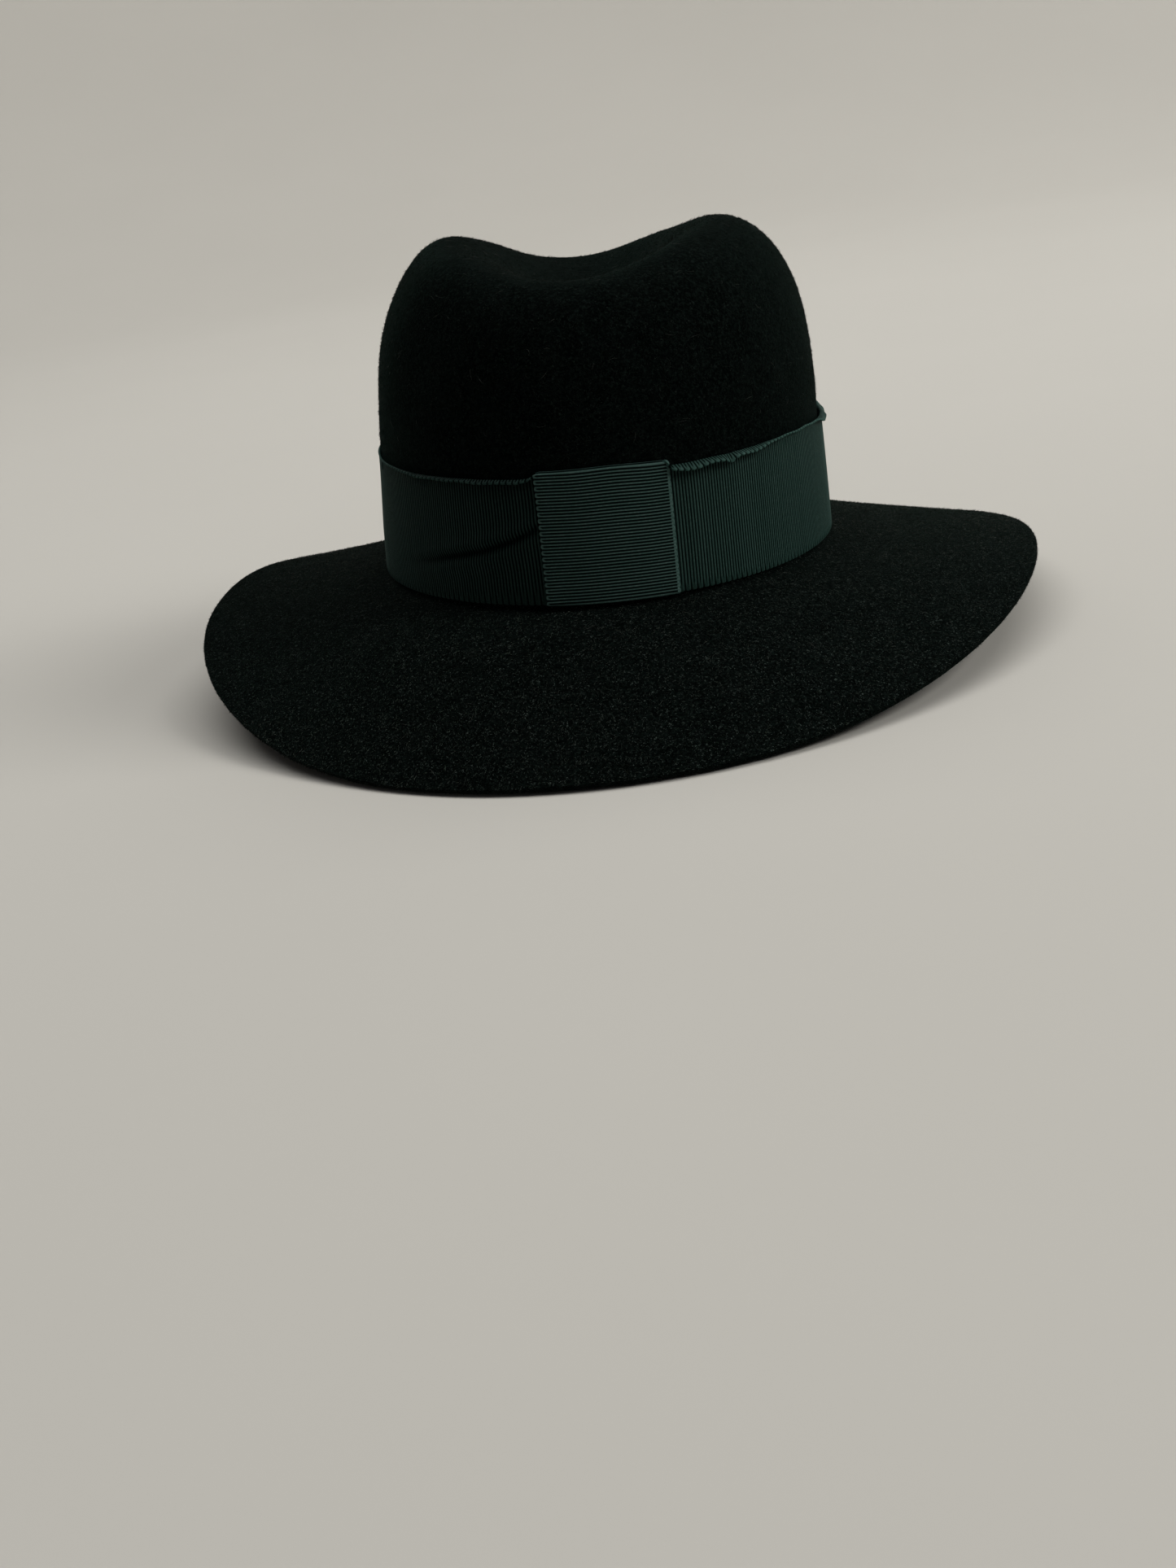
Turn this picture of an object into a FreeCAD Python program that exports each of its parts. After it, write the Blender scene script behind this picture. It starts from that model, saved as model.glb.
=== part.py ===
import FreeCAD, Part
import math
import os
import Sketcher

# Wide-brim felt hat with a creased crown, ribbon band and flat ribbon tab, in millimetres.
# It is laid out with its head opening in the plane z = 0 and the crown upwards.  The front,
# with the tab, faces -Y; left (-X) and right (+X) are as seen from the front.  REST then
# tilts and lifts every piece so that the hat lies on its brim edge.
# Angles go round the opening oval, counterclockwise from +X.

V = FreeCAD.Vector
UP = V(0, 0, 1)
doc = FreeCAD.newDocument("felt_hat")
os.makedirs("parts", exist_ok=True)

# ------------------------------------------------------------- driving sizes
# alias, value, meaning
SIZES = [
    ("crown_half_width", 82.94, "felt, half width across at the head opening"),
    ("crown_half_length", 102.68, "felt, half length front to back at the head opening"),
    ("crown_mid_x", 2.00, "middle of the opening oval"),
    ("crown_mid_y", 0.43, "middle of the opening oval"),
    ("lean_x", 0.04094, "crown half width lost per mm of height"),
    ("lean_y", 0.07124, "crown half length lost per mm of height"),
    ("drift_x", -0.01574, "sideways drift of the oval per mm of height"),
    ("drift_y", 0.01706, "front to back drift of the oval per mm of height"),
    ("wall_height", 40.0, "straight part of the crown wall"),
    ("dome_height", 143.57, "height of the uncreased crown"),
    ("dome_tilt_x", -0.10863, "sideways slope of the uncreased top"),
    ("dome_tilt_y", -0.00277, "front to back slope of the uncreased top"),
    ("round_left", 2.159, "roundness exponent of the left shoulder"),
    ("round_right", 2.609, "roundness exponent of the right shoulder"),
    ("round_front", 2.377, "roundness exponent of the front shoulder"),
    ("round_back", 2.457, "roundness exponent of the back shoulder"),
    ("crease_depth", 52.79, "depth taken out at the middle of the crease"),
    ("crease_depth_front", -0.30, "depth at the front end"),
    ("crease_depth_back", 3.96, "depth at the back end"),
    ("crease_width", 46.11, "spread of the crease at the middle"),
    ("crease_width_front", 36.31, "spread at the front end"),
    ("crease_width_back", 35.60, "spread at the back end"),
    ("crease_swing_front", 5.50, "crease line offset to the right at the front"),
    ("crease_swing_back", 15.80, "crease line offset to the left at the back"),
    ("crease_fade", 2.209, "how fast the crease fades to its ends"),
    ("felt_thick", 2.0, "felt"),
    ("brim_width", 76.7, "brim, measured along the felt"),
    ("brim_start_slope", 14.6, "downward slope of the brim beside the crown, degrees"),
    ("brim_bend_share", 0.5, "share of the brim width in which the slope changes"),
    ("break_round", 2.3, "rounding between brim and crown"),
    ("slope_mean", 19.98, "mean downward slope of the brim edge, degrees"),
    ("slope_sin_one", -8.23, "terms of the edge slope around the hat, degrees"),
    ("slope_cos_one", -4.70, "once around"),
    ("slope_cos_two", -12.59, "twice around"),
    ("slope_sin_two", 1.78, "twice around"),
    ("slope_sin_three", -0.50, "three times around"),
    ("slope_cos_three", 1.16, "three times around"),
    ("slope_cos_four", -1.64, "four times around"),
    ("slope_sin_four", 0.65, "four times around"),
    ("slope_cos_five", -0.28, "five times around"),
    ("slope_sin_five", 0.80, "five times around"),
    ("slope_back_relief", 1.8, "flatter middle of the back brim, degrees"),
    ("columns", 72, "grid columns around the hat"),
    ("band_bottom", 2.2, "height of the ribbon's lower edge"),
    ("band_height", 42.0, "ribbon width"),
    ("band_inside", 1.1, "clearance of the ribbon from the felt"),
    ("band_thick", 0.55, "grosgrain"),
    ("band_end_gap", 0.8, "gap between the two ends of the ribbon, under the tab"),
    ("tab_angle", -79.7, "place of the tab on the opening oval, degrees"),
    ("tab_width", 44.0, "tab, along the band"),
    ("tab_radius", 69.0, "curvature of the crown at the tab"),
    ("tab_lean", 5.17, "lean of the crown wall at the tab, degrees"),
    ("tab_twist", -0.13, "turn of the tab from the wall normal, degrees"),
    ("tab_stand", 0.6, "clearance of the turned-in ends from the felt"),
    ("tab_clear", 0.3, "clearance of the tab from the band, outside and below"),
    ("tab_clear_top", 0.55, "clearance of the tab over the band"),
    ("tab_thick", 0.55, "grosgrain"),
    ("tab_back_thick", 0.3, "pressed turn-in behind the band"),
    ("tab_turn_in", 8.0, "length of the turned-in ends"),
    ("tack_size", 0.4, "thread"),
    ("tack_length", 2.2, "length of one tack stitch"),
    ("tack_count", 7, "tack stitches on the ribbon"),
    ("sweat_outside", -3.1, "outer face of the sweatband, from the felt's outer face"),
    ("sweat_thick", 0.9, "leather"),
    ("sweat_bottom", 1.0, "lower edge of the sweatband"),
    ("sweat_height", 35.0, "sweatband, up inside the crown"),
    ("sweat_end_gap", 0.3, "butt seam of the sweatband, at the back"),
    ("reed_size", 1.5, "cord diameter"),
    ("reed_inside", -3.6, "cord middle from the felt's outer face"),
    ("reed_level", -0.3, "cord height"),
    ("tape_outside", -2.25, "outer face of the reed tape, from the felt's outer face"),
    ("tape_thick", 0.4, "reed tape"),
    ("tape_bottom", -0.9, "lower edge of the reed tape"),
    ("tape_height", 8.0, "reed tape width"),
    ("stitch_size", 0.5, "thread"),
    ("stitch_length", 3.0, "length of one seam stitch over its round ends"),
    ("stitch_count", 110, "stitches around the sweatband"),
    ("stitch_level", 3.2, "height of the seam"),
    ("bow_width", 22.0, "small bow over the sweatband seam"),
    ("bow_height", 9.0, "bow"),
    ("bow_level", 9.0, "height of the bow's middle"),
    ("bow_thick", 0.8, "bow loops"),
    ("bow_front", 5.2, "bow, inwards from the felt's outer face"),
    ("lining_outside", 2.55, "outer face of the lining, inwards from the felt's outer face"),
    ("lining_thick", 0.3, "satin"),
    ("lining_bottom", 12.0, "felt height at which the lining starts"),
    ("lining_split", 46.0, "where side lining and tip lining meet, shoulder angle"),
    ("cord_size", 1.1, "piping between side and tip lining"),
    ("size_tab_width", 20.0, "size tab"),
    ("size_tab_height", 11.0, "size tab"),
    ("size_tab_thick", 0.3, "size tab"),
    ("size_tab_angle", 62.0, "place of the size tab on the oval, degrees"),
    ("size_tab_level", 12.0, "height of the size tab's middle"),
    ("rest_angle", 3.795, "tilt from the head opening plane to the table, degrees"),
    ("rest_axis_x", -0.5978, "axis of that tilt"),
    ("rest_axis_y", 0.8017, "axis of that tilt"),
    ("rest_shift_x", -1.88, "move onto the table"),
    ("rest_shift_y", -2.79, "move onto the table"),
    ("rest_shift_z", 35.32, "move onto the table"),
]
sheet = doc.addObject("Spreadsheet::Sheet", "Sizes")
for cell, title in (("A1", "size"), ("B1", "value"), ("C1", "meaning")):
    sheet.set(cell, title)
for line, (alias, value, note) in enumerate(SIZES, start=2):
    sheet.set("A%d" % line, alias)
    sheet.set("B%d" % line, str(value))
    sheet.setAlias("B%d" % line, alias)
    sheet.set("C%d" % line, note)
doc.recompute()


def size(alias):
    return float(sheet.get(alias))


HALF_WIDTH, HALF_LENGTH = size("crown_half_width"), size("crown_half_length")
MID_X, MID_Y = size("crown_mid_x"), size("crown_mid_y")
LEAN_X, LEAN_Y = size("lean_x"), size("lean_y")
DRIFT_X, DRIFT_Y = size("drift_x"), size("drift_y")
WALL, DOME = size("wall_height"), size("dome_height")
BRIM, BREAK = size("brim_width"), size("break_round")
COLUMNS = int(size("columns"))
LINING_BOTTOM = size("lining_bottom")

# Rows of the felt grid.
BRIM_STATIONS = [  # distances out from the crown, along the felt
    BREAK, 5.0, 9.0, 15.0, 22.0, 29.0, 36.0, 43.0, 50.0, 57.0, 64.0, 70.0, 74.0,
    BRIM - 1.2, BRIM - 0.3, BRIM,
]
BREAK_SHARES = (0.3, 0.5, 0.7)  # along the curve from brim to wall
WALL_LEVELS = [BREAK, 5.0, LINING_BOTTOM, 20.0, 28.0, 35.0, WALL]  # heights
SHOULDER_ROWS = 30
SHOULDER_END = math.radians(88.0)  # leaves a small flat oval at the crown middle
SHOULDER_TURNS = [SHOULDER_END * (i + 1) / SHOULDER_ROWS for i in range(SHOULDER_ROWS)]
WALL_ROW = len(BRIM_STATIONS) + len(BREAK_SHARES)
SHOULDER_ROW = WALL_ROW + len(WALL_LEVELS)
ANGLES = [2 * math.pi * k / COLUMNS for k in range(COLUMNS)]

BRIM_STEP = 1.0  # step along the felt when adding up the brim's curve
BACK_RELIEF_ANGLE, BACK_RELIEF_SPREAD = 88, 16.0  # degrees
CREASE_LIFT_LIMIT = 1.2  # the crease stops deepening at this share of the dome's rise
SHOULDER_DRIFT_SHARE = 0.5  # share of the wall's sideways drift kept above the wall

SURFACE_PATCHES_AROUND = 6
PATCH_SPAN = 12  # knot spans per patch along the rows
CORD_SIDES = 8  # control rings around a cord's section
CORD_TURNS = [2 * math.pi * i / CORD_SIDES for i in range(CORD_SIDES)]
THREAD_CLEAR = 0.08  # gap between a stitch and the face it lies on


# ------------------------------------------------------------- shape of the hat
def oval(angle, level, grow=0.0):
    """A point of the crown wall at an angle and height, moved outwards by grow."""
    across = HALF_WIDTH - level * LEAN_X + grow
    along = HALF_LENGTH - level * LEAN_Y + grow
    return V(
        MID_X + level * DRIFT_X + across * math.cos(angle),
        MID_Y + level * DRIFT_Y + along * math.sin(angle),
        level,
    )


def outward(angle):
    """Horizontal unit normal of the opening oval."""
    return V(math.cos(angle) / HALF_WIDTH, math.sin(angle) / HALF_LENGTH, 0).normalize()


def heading(direction):
    """Degrees about Z that turn +Y into a horizontal direction."""
    return math.degrees(math.atan2(direction.y, direction.x)) - 90.0


def edge_slope(angle):
    """Downward slope of the brim edge, degrees."""
    slope = size("slope_mean")
    for order, word in enumerate(("one", "two", "three", "four", "five"), start=1):
        slope += size("slope_sin_" + word) * math.sin(order * angle)
        slope += size("slope_cos_" + word) * math.cos(order * angle)
    turn = angle - math.radians(BACK_RELIEF_ANGLE)
    from_back = math.degrees(math.atan2(math.sin(turn), math.cos(turn)))
    relief = math.exp(-((from_back / BACK_RELIEF_SPREAD) ** 2))
    return slope - size("slope_back_relief") * relief


def brim_profile(angle):
    """(distance out, height) of the brim at each of BRIM_STATIONS."""
    start = math.radians(size("brim_start_slope"))
    end = math.radians(edge_slope(angle))
    share = size("brim_bend_share")
    profile, out, height, walked = [], 0.0, 0.0, 0.0
    for goal in BRIM_STATIONS:
        while walked < goal - 1e-9:
            step = min(BRIM_STEP, goal - walked)
            middle = (walked + step / 2) / BRIM
            slope = start + (end - start) * min(1.0, middle / share)
            out += math.cos(slope) * step
            height -= math.sin(slope) * step
            walked += step
        profile.append((out, height))
    return profile


def creased(x, y, z):
    """Height of the crown top after the crease is pressed in."""
    reach = max(-1.0, min(1.0, y / HALF_LENGTH))  # -1 at the front, 1 at the back
    front = max(0.0, -reach) ** size("crease_fade")
    back = max(0.0, reach) ** size("crease_fade")

    def faded(alias):
        middle = size(alias)
        to_front = (size(alias + "_front") - middle) * front
        return middle + to_front + (size(alias + "_back") - middle) * back

    swing = size("crease_swing_front")
    line_x = -swing * reach - (size("crease_swing_back") - swing) * max(0.0, reach) ** 2
    lift = max(0.0, min(CREASE_LIFT_LIMIT, (z - WALL) / (DOME - WALL))) ** 2
    across = (x - line_x) / faded("crease_width")
    return z - faded("crease_depth") * math.exp(-(across ** 2)) * lift


def shoulder(angle, turn):
    """A point of the crown above the straight wall; turn runs 0 to 90 degrees."""
    cosine, sine = math.cos(angle), math.sin(angle)
    side = size("round_left" if cosine < 0 else "round_right")
    end = size("round_front" if sine < 0 else "round_back")
    roundness = side * cosine * cosine + end * sine * sine
    inset = math.cos(turn) ** (2.0 / roundness)
    rise = math.sin(turn) ** (2.0 / roundness)
    x = inset * (HALF_WIDTH - WALL * LEAN_X) * cosine
    y = inset * (HALF_LENGTH - WALL * LEAN_Y) * sine
    tilt = size("dome_tilt_y") * y + size("dome_tilt_x") * x
    z = WALL + (DOME - WALL) * rise + tilt * rise * rise
    x += MID_X + WALL * DRIFT_X + DRIFT_X * (z - WALL) * SHOULDER_DRIFT_SHARE
    y += MID_Y + WALL * DRIFT_Y
    return V(x, y, creased(x, y, z))


def felt_column(angle):
    """Points of the outer felt face from the brim edge in to the crown and up over it."""
    base, out = oval(angle, 0.0), outward(angle)
    points = [base + out * r + UP * z for r, z in reversed(brim_profile(angle))]
    low, high = points[-1], oval(angle, BREAK)
    for q in BREAK_SHARES:
        points.append(low * (1 - q) ** 2 + base * (2 * q * (1 - q)) + high * q ** 2)
    points += [oval(angle, level) for level in WALL_LEVELS]
    points += [shoulder(angle, turn) for turn in SHOULDER_TURNS]
    return points


def flattened(row, level):
    return [V(p.x, p.y, level) for p in row]


def outer_grid():
    """Rows of the outer felt face, from the brim edge to the flat oval at the crown middle."""
    rows = [list(row) for row in zip(*[felt_column(angle) for angle in ANGLES])]
    rows[-1] = flattened(rows[-1], sum(p.z for p in rows[-1]) / COLUMNS)
    return rows


OUTER = outer_grid()


def inset_grid(depth):
    """The outer felt grid moved inwards along its normals; the last row stays flat."""
    result = []
    last = len(OUTER) - 1
    for j, row in enumerate(OUTER):
        below, above = OUTER[max(0, j - 1)], OUTER[min(last, j + 1)]
        moved = []
        for k in range(COLUMNS):
            around = row[(k + 1) % COLUMNS] - row[k - 1]
            normal = around.cross(above[k] - below[k]).normalize()
            moved.append(row[k] - normal * depth)
        result.append(moved)
    result[-1] = flattened(OUTER[-1], OUTER[-1][0].z - depth)
    return result


# ------------------------------------------------------------- solids from grids
def midway(row, other):
    return [(p + q) * 0.5 for p, q in zip(row, other)]


def sharpen(row):
    """Control points that bring the periodic cubic close to the row's points."""
    poles = []
    for k in range(COLUMNS):
        bend = row[(k + 1) % COLUMNS] - row[k] * 2 + row[k - 1]
        poles.append(row[k] - bend * (1 / 6))
    return poles


def smooth_surface(rows, ring):
    """Cubic surface, closed around the hat and, for a ring, along the rows too."""
    n = len(rows)
    columns = [list(column) for column in zip(*[sharpen(row) for row in rows])]
    if ring:
        v_mults, v_knots = [1] * (n + 1), [float(i) for i in range(n + 1)]
    else:
        v_mults, v_knots = [4] + [1] * (n - 4) + [4], [float(i) for i in range(n - 2)]
    u_mults, u_knots = [1] * (COLUMNS + 1), [float(i) for i in range(COLUMNS + 1)]
    surface = Part.BSplineSurface()
    surface.buildFromPolesMultsKnots(
        columns, u_mults, v_mults, u_knots, v_knots, True, ring, 3, 3
    )
    return surface


def patches(surface):
    """The surface cut along its own lines into rows of smaller four-sided surfaces."""
    u0, u1, v0, v1 = surface.bounds()
    around = SURFACE_PATCHES_AROUND
    n = max(2 if surface.isVPeriodic() else 1, int(round((v1 - v0) / PATCH_SPAN)))
    v_cuts = [v0 + round((v1 - v0) * i / n) for i in range(n + 1)]
    u_cuts = [u0 + (u1 - u0) * i / around for i in range(around + 1)]
    rows = []
    for j in range(n):
        row = []
        for i in range(around):
            part = surface.copy()
            part.segment(u_cuts[i], u_cuts[i + 1], v_cuts[j], v_cuts[j + 1])
            row.append(part)
        rows.append(row)
    return rows


def faces_of(patch_rows):
    return [part.toShape() for row in patch_rows for part in row]


def solid_of(faces):
    shell = Part.Shell(faces)
    shell.sewShape()
    solid = Part.Solid(shell)
    if solid.Volume < 0:
        solid.reverse()
    return solid


def capped(rows):
    """Closed solid from rows whose first and last rings are flat."""
    patch_rows = patches(smooth_surface(rows, False))
    faces = faces_of(patch_rows)
    # bounds() gives u low, u high, v low, v high
    for end_row, bound in ((patch_rows[0], 2), (patch_rows[-1], 3)):
        edges = [part.vIso(part.bounds()[bound]).toShape() for part in end_row]
        faces.append(Part.Face(Part.Wire(edges)))
    return solid_of(faces)


def looped(rows):
    """Closed solid from rows that run round a thin section and join up."""
    return solid_of(faces_of(patches(smooth_surface(rows, True))))


def folded(outside, inside):
    """Rows of a capped sheet: up the inside from the crown, round the edge and back."""
    return list(reversed(inside)) + [midway(inside[0], outside[0])] + outside


# ------------------------------------------------------------- pieces in the document
REST = FreeCAD.Placement(
    V(size("rest_shift_x"), size("rest_shift_y"), size("rest_shift_z")),
    FreeCAD.Rotation(V(size("rest_axis_x"), size("rest_axis_y"), 0), size("rest_angle")),
)
NODES = []


def feature(label, shape):
    piece = doc.addObject("Part::Feature", label)
    piece.Shape = shape
    piece.Placement = REST
    NODES.append(piece)


def new_body(label):
    body = doc.addObject("PartDesign::Body", label)
    NODES.append(body)
    return body


def upright_sketch(body, name):
    sketch = body.newObject("Sketcher::SketchObject", name)
    plane = next(f for f in body.Origin.OriginFeatures if f.Role == "XZ_Plane")
    sketch.AttachmentSupport = (plane, [""])
    sketch.MapMode = "FlatFace"
    return sketch


def outline(sketch, points):
    """Closed run of straight lines with every corner joined."""
    first = sketch.GeometryCount
    n = len(points)
    sides = list(zip(points, points[1:] + points[:1]))
    for a, b in sides:
        sketch.addGeometry(Part.LineSegment(V(a[0], a[1], 0), V(b[0], b[1], 0)), False)
    for i in range(n):
        sketch.addConstraint(
            Sketcher.Constraint("Coincident", first + i, 2, first + (i + 1) % n, 1)
        )
    for i, (a, b) in enumerate(sides):
        if abs(a[1] - b[1]) < 1e-9:
            sketch.addConstraint(Sketcher.Constraint("Horizontal", first + i))
        elif abs(a[0] - b[0]) < 1e-9:
            sketch.addConstraint(Sketcher.Constraint("Vertical", first + i))


def bind(sketch, kind, line, end, value, expression):
    """Distance of a line's start (1) or end (2) from the sketch origin, driven by the sheet."""
    index = sketch.addConstraint(Sketcher.Constraint(kind, -1, 1, line, end, value))
    sketch.setExpression("Constraints[%d]" % index, expression)


def pad(body, name, profile, length):
    result = body.newObject("PartDesign::Pad", name)
    result.Profile = profile
    result.setExpression("Length", length)
    body.Tip = result


# ------------------------------------------------------------- felt body
feature("felt_body", capped(folded(OUTER, inset_grid(size("felt_thick")))))


# ------------------------------------------------------------- bands along the wall
SLIT_DEPTH = 60  # across the band, centred on the oval
SLIT_BOTTOM = -6
SLIT_EXTRA_HEIGHT = 10


def wall_oval(name, level, grow):
    ellipse = doc.addObject("Part::Ellipse", name)
    for radius, half, lean in (
        ("MajorRadius", "crown_half_length", "lean_y"),
        ("MinorRadius", "crown_half_width", "lean_x"),
    ):
        ellipse.setExpression(
            radius, "Sizes.%s - (%s) * Sizes.%s + (%s)" % (half, level, lean, grow)
        )
    ellipse.Placement = FreeCAD.Placement(V(0, 0, 0), FreeCAD.Rotation(UP, 90))
    for axis in ("x", "y"):
        ellipse.setExpression(
            "Placement.Base." + axis,
            "Sizes.crown_mid_%s + (%s) * Sizes.drift_%s" % (axis, level, axis),
        )
    ellipse.setExpression("Placement.Base.z", level)
    return ellipse


def wall_loft(name, low, high, grow):
    loft = doc.addObject("Part::Loft", name)
    loft.Sections = [wall_oval(name + "_low", low, grow), wall_oval(name + "_high", high, grow)]
    loft.Solid = True
    loft.Ruled = True
    return loft


def end_slit(name, prefix, gap_angle):
    """Box that parts the two ends of a band."""
    slit = doc.addObject("Part::Box", name)
    slit.setExpression("Length", "Sizes.%s_end_gap" % prefix)
    slit.Width = SLIT_DEPTH
    slit.setExpression("Height", "Sizes.%s_height + %d" % (prefix, SLIT_EXTRA_HEIGHT))
    turn = math.radians(gap_angle)
    spin = FreeCAD.Rotation(UP, heading(outward(turn)))
    foot = oval(turn, size("band_bottom"))
    middle = spin.multVec(V(size(prefix + "_end_gap") / 2, SLIT_DEPTH / 2, 0))
    slit.Placement = FreeCAD.Placement(V(foot.x, foot.y, SLIT_BOTTOM) - middle, spin)
    return slit


def wall_band(label, prefix, inside, gap_angle=None):
    """A strip of even thickness along the crown wall, cut at gap_angle if it has ends.

    The sheet gives its bottom, height, thick and end_gap under the prefix.
    """
    low = "Sizes.%s_bottom" % prefix
    high = "%s + Sizes.%s_height" % (low, prefix)
    outer = wall_loft(label + "_outer", low, high, "%s + Sizes.%s_thick" % (inside, prefix))
    core = wall_loft(label + "_core", low, high, inside)
    band = doc.addObject("Part::Cut", label if gap_angle is None else label + "_ring")
    band.Base, band.Tool = outer, core
    if gap_angle is not None:
        ring = band
        slit = end_slit(label + "_slit", prefix, gap_angle)
        band = doc.addObject("Part::Cut", label)
        band.Base, band.Tool = ring, slit
    band.Placement = REST
    NODES.append(band)


wall_band("ribbon_band", "band", "Sizes.band_inside", size("tab_angle"))
wall_band("sweatband", "sweat", "Sizes.sweat_outside - Sizes.sweat_thick", 90.0)
wall_band("reed_tape", "tape", "Sizes.tape_outside - Sizes.tape_thick")


# ------------------------------------------------------------- sweatband reed
def reed_rows():
    radius, level, inside = size("reed_size") / 2, size("reed_level"), size("reed_inside")
    return [
        [
            oval(angle, level + radius * math.sin(turn), inside + radius * math.cos(turn))
            for angle in ANGLES
        ]
        for turn in CORD_TURNS
    ]


feature("sweatband_reed", looped(reed_rows()))


# ------------------------------------------------------------- ribbon tab
# A strip of the same ribbon turned upright: it covers the band's joint, folds over
# the band's upper and lower edges and lies pressed between band and felt.
TAB_BACK = "Sizes.tab_radius + Sizes.tab_stand"
TAB_FRONT = "Sizes.tab_radius + Sizes.band_inside + Sizes.band_thick + Sizes.tab_clear"
TAB_TOP = "Sizes.band_bottom + Sizes.band_height + Sizes.tab_clear_top"
TAB_LOW = "Sizes.band_bottom - Sizes.tab_clear"


def tab_profile(body):
    """C-shaped section, open towards the felt; sketch x is the radius of the wrap."""
    back_in = size("tab_radius") + size("tab_stand")
    back_out = back_in + size("tab_back_thick")
    front_in = (
        size("tab_radius") + size("band_inside") + size("band_thick") + size("tab_clear")
    )
    front_out = front_in + size("tab_thick")
    low_in = size("band_bottom") - size("tab_clear")
    low_out = low_in - size("tab_thick")
    top_in = size("band_bottom") + size("band_height") + size("tab_clear_top")
    top_out = top_in + size("tab_thick")
    top_end = top_out - size("tab_turn_in")
    low_end = low_out + size("tab_turn_in")
    sketch = upright_sketch(body, "tab_profile")
    outline(sketch, [
        (back_in, low_out), (front_out, low_out), (front_out, top_out), (back_in, top_out),
        (back_in, top_end), (back_out, top_end), (back_out, top_in), (front_in, top_in),
        (front_in, low_in), (back_out, low_in), (back_out, low_end), (back_in, low_end),
    ])
    # direction, line, its end, value, expression
    for kind, line, end, value, expression in (
        ("DistanceX", 0, 1, back_in, TAB_BACK),
        ("DistanceX", 1, 1, front_out, TAB_FRONT + " + Sizes.tab_thick"),
        ("DistanceX", 5, 1, back_out, TAB_BACK + " + Sizes.tab_back_thick"),
        ("DistanceX", 7, 1, front_in, TAB_FRONT),
        ("DistanceY", 2, 1, top_out, TAB_TOP + " + Sizes.tab_thick"),
        ("DistanceY", 7, 1, top_in, TAB_TOP),
        ("DistanceY", 8, 2, low_in, TAB_LOW),
        ("DistanceY", 4, 1, top_end, TAB_TOP + " + Sizes.tab_thick - Sizes.tab_turn_in"),
        ("DistanceY", 10, 2, low_end, TAB_LOW + " - Sizes.tab_thick + Sizes.tab_turn_in"),
        ("DistanceX", 9, 2, back_out, TAB_BACK + " + Sizes.tab_back_thick"),
        ("DistanceX", 3, 1, back_in, TAB_BACK),
        ("DistanceY", 0, 1, low_out, TAB_LOW + " - Sizes.tab_thick"),
    ):
        bind(sketch, kind, line, end, value, expression)
    return sketch


def ribbon_tab():
    tab = new_body("ribbon_tab")
    sketch = tab_profile(tab)
    wrap = tab.newObject("PartDesign::Revolution", "tab_wrap")
    wrap.Profile = sketch
    wrap.ReferenceAxis = (sketch, ["V_Axis"])
    wrap.Midplane = True
    wrap.setExpression("Angle", "2 * asin(Sizes.tab_width / 2 / (%s))" % TAB_FRONT)
    tab.Tip = wrap

    turn = math.radians(size("tab_angle"))
    lean = math.radians(size("tab_lean"))
    out = FreeCAD.Rotation(UP, size("tab_twist")).multVec(outward(turn))
    axis_x = out * math.cos(lean) + UP * math.sin(lean)
    axis_z = UP * math.cos(lean) - out * math.sin(lean)
    spin = FreeCAD.Rotation(axis_x, axis_z.cross(axis_x), axis_z, "ZXY")
    centre = oval(turn, 0.0) - axis_x * size("tab_radius")
    tab.Placement = REST.multiply(FreeCAD.Placement(centre, spin))


ribbon_tab()

# ------------------------------------------------------------- thread stitches
TACK_START, TACK_SWEEP = -30.0, 240.0  # degrees, counterclockwise round the back
TACK_DROP = 1.0  # upper end of a tack below the ribbon's upper edge
SEAM_STEPS = 720  # straight steps used to measure along the seam


def thread(start, end, diameter):
    """A straight stitch with round ends between two points."""
    radius = diameter / 2
    along = (end - start).normalize()
    shaft = Part.makeCylinder(radius, (end - start).Length, start, along)
    ends = [Part.makeSphere(radius, start), Part.makeSphere(radius, end)]
    return shaft.fuse(ends).removeSplitter()


def ribbon_tacks():
    """Short upright stitches on the outside of the ribbon, at its upper edge."""
    thick = size("tack_size")
    top = size("band_bottom") + size("band_height") - TACK_DROP
    grow = size("band_inside") + size("band_thick") + thick / 2 + THREAD_CLEAR
    count = int(size("tack_count"))
    tacks = []
    for i in range(count):
        angle = math.radians(TACK_START + i * TACK_SWEEP / (count - 1))
        low = oval(angle, top - size("tack_length"), grow)
        tacks.append(thread(oval(angle, top, grow), low, thick))
    return Part.makeCompound(tacks)


def sweatband_stitches():
    """Evenly spaced stitches on the inner face of the sweatband."""
    thick, level = size("stitch_size"), size("stitch_level")
    grow = size("sweat_outside") - size("sweat_thick") - thick / 2 - THREAD_CLEAR
    seam = [oval(2 * math.pi * i / SEAM_STEPS, level, grow) for i in range(SEAM_STEPS + 1)]
    lengths = [0.0]
    for p, q in zip(seam, seam[1:]):
        lengths.append(lengths[-1] + (q - p).Length)
    total = lengths[-1]

    def along_seam(distance):
        distance = distance % total
        i = next(k for k in range(SEAM_STEPS) if lengths[k + 1] >= distance)
        share = (distance - lengths[i]) / (lengths[i + 1] - lengths[i])
        return seam[i] + (seam[i + 1] - seam[i]) * share

    count = int(size("stitch_count"))
    reach = size("stitch_length") - thick
    starts = [total * i / count for i in range(count)]
    return Part.makeCompound(
        [thread(along_seam(start), along_seam(start + reach), thick) for start in starts]
    )


feature("ribbon_tacks", ribbon_tacks())
feature("sweatband_stitches", sweatband_stitches())

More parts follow.
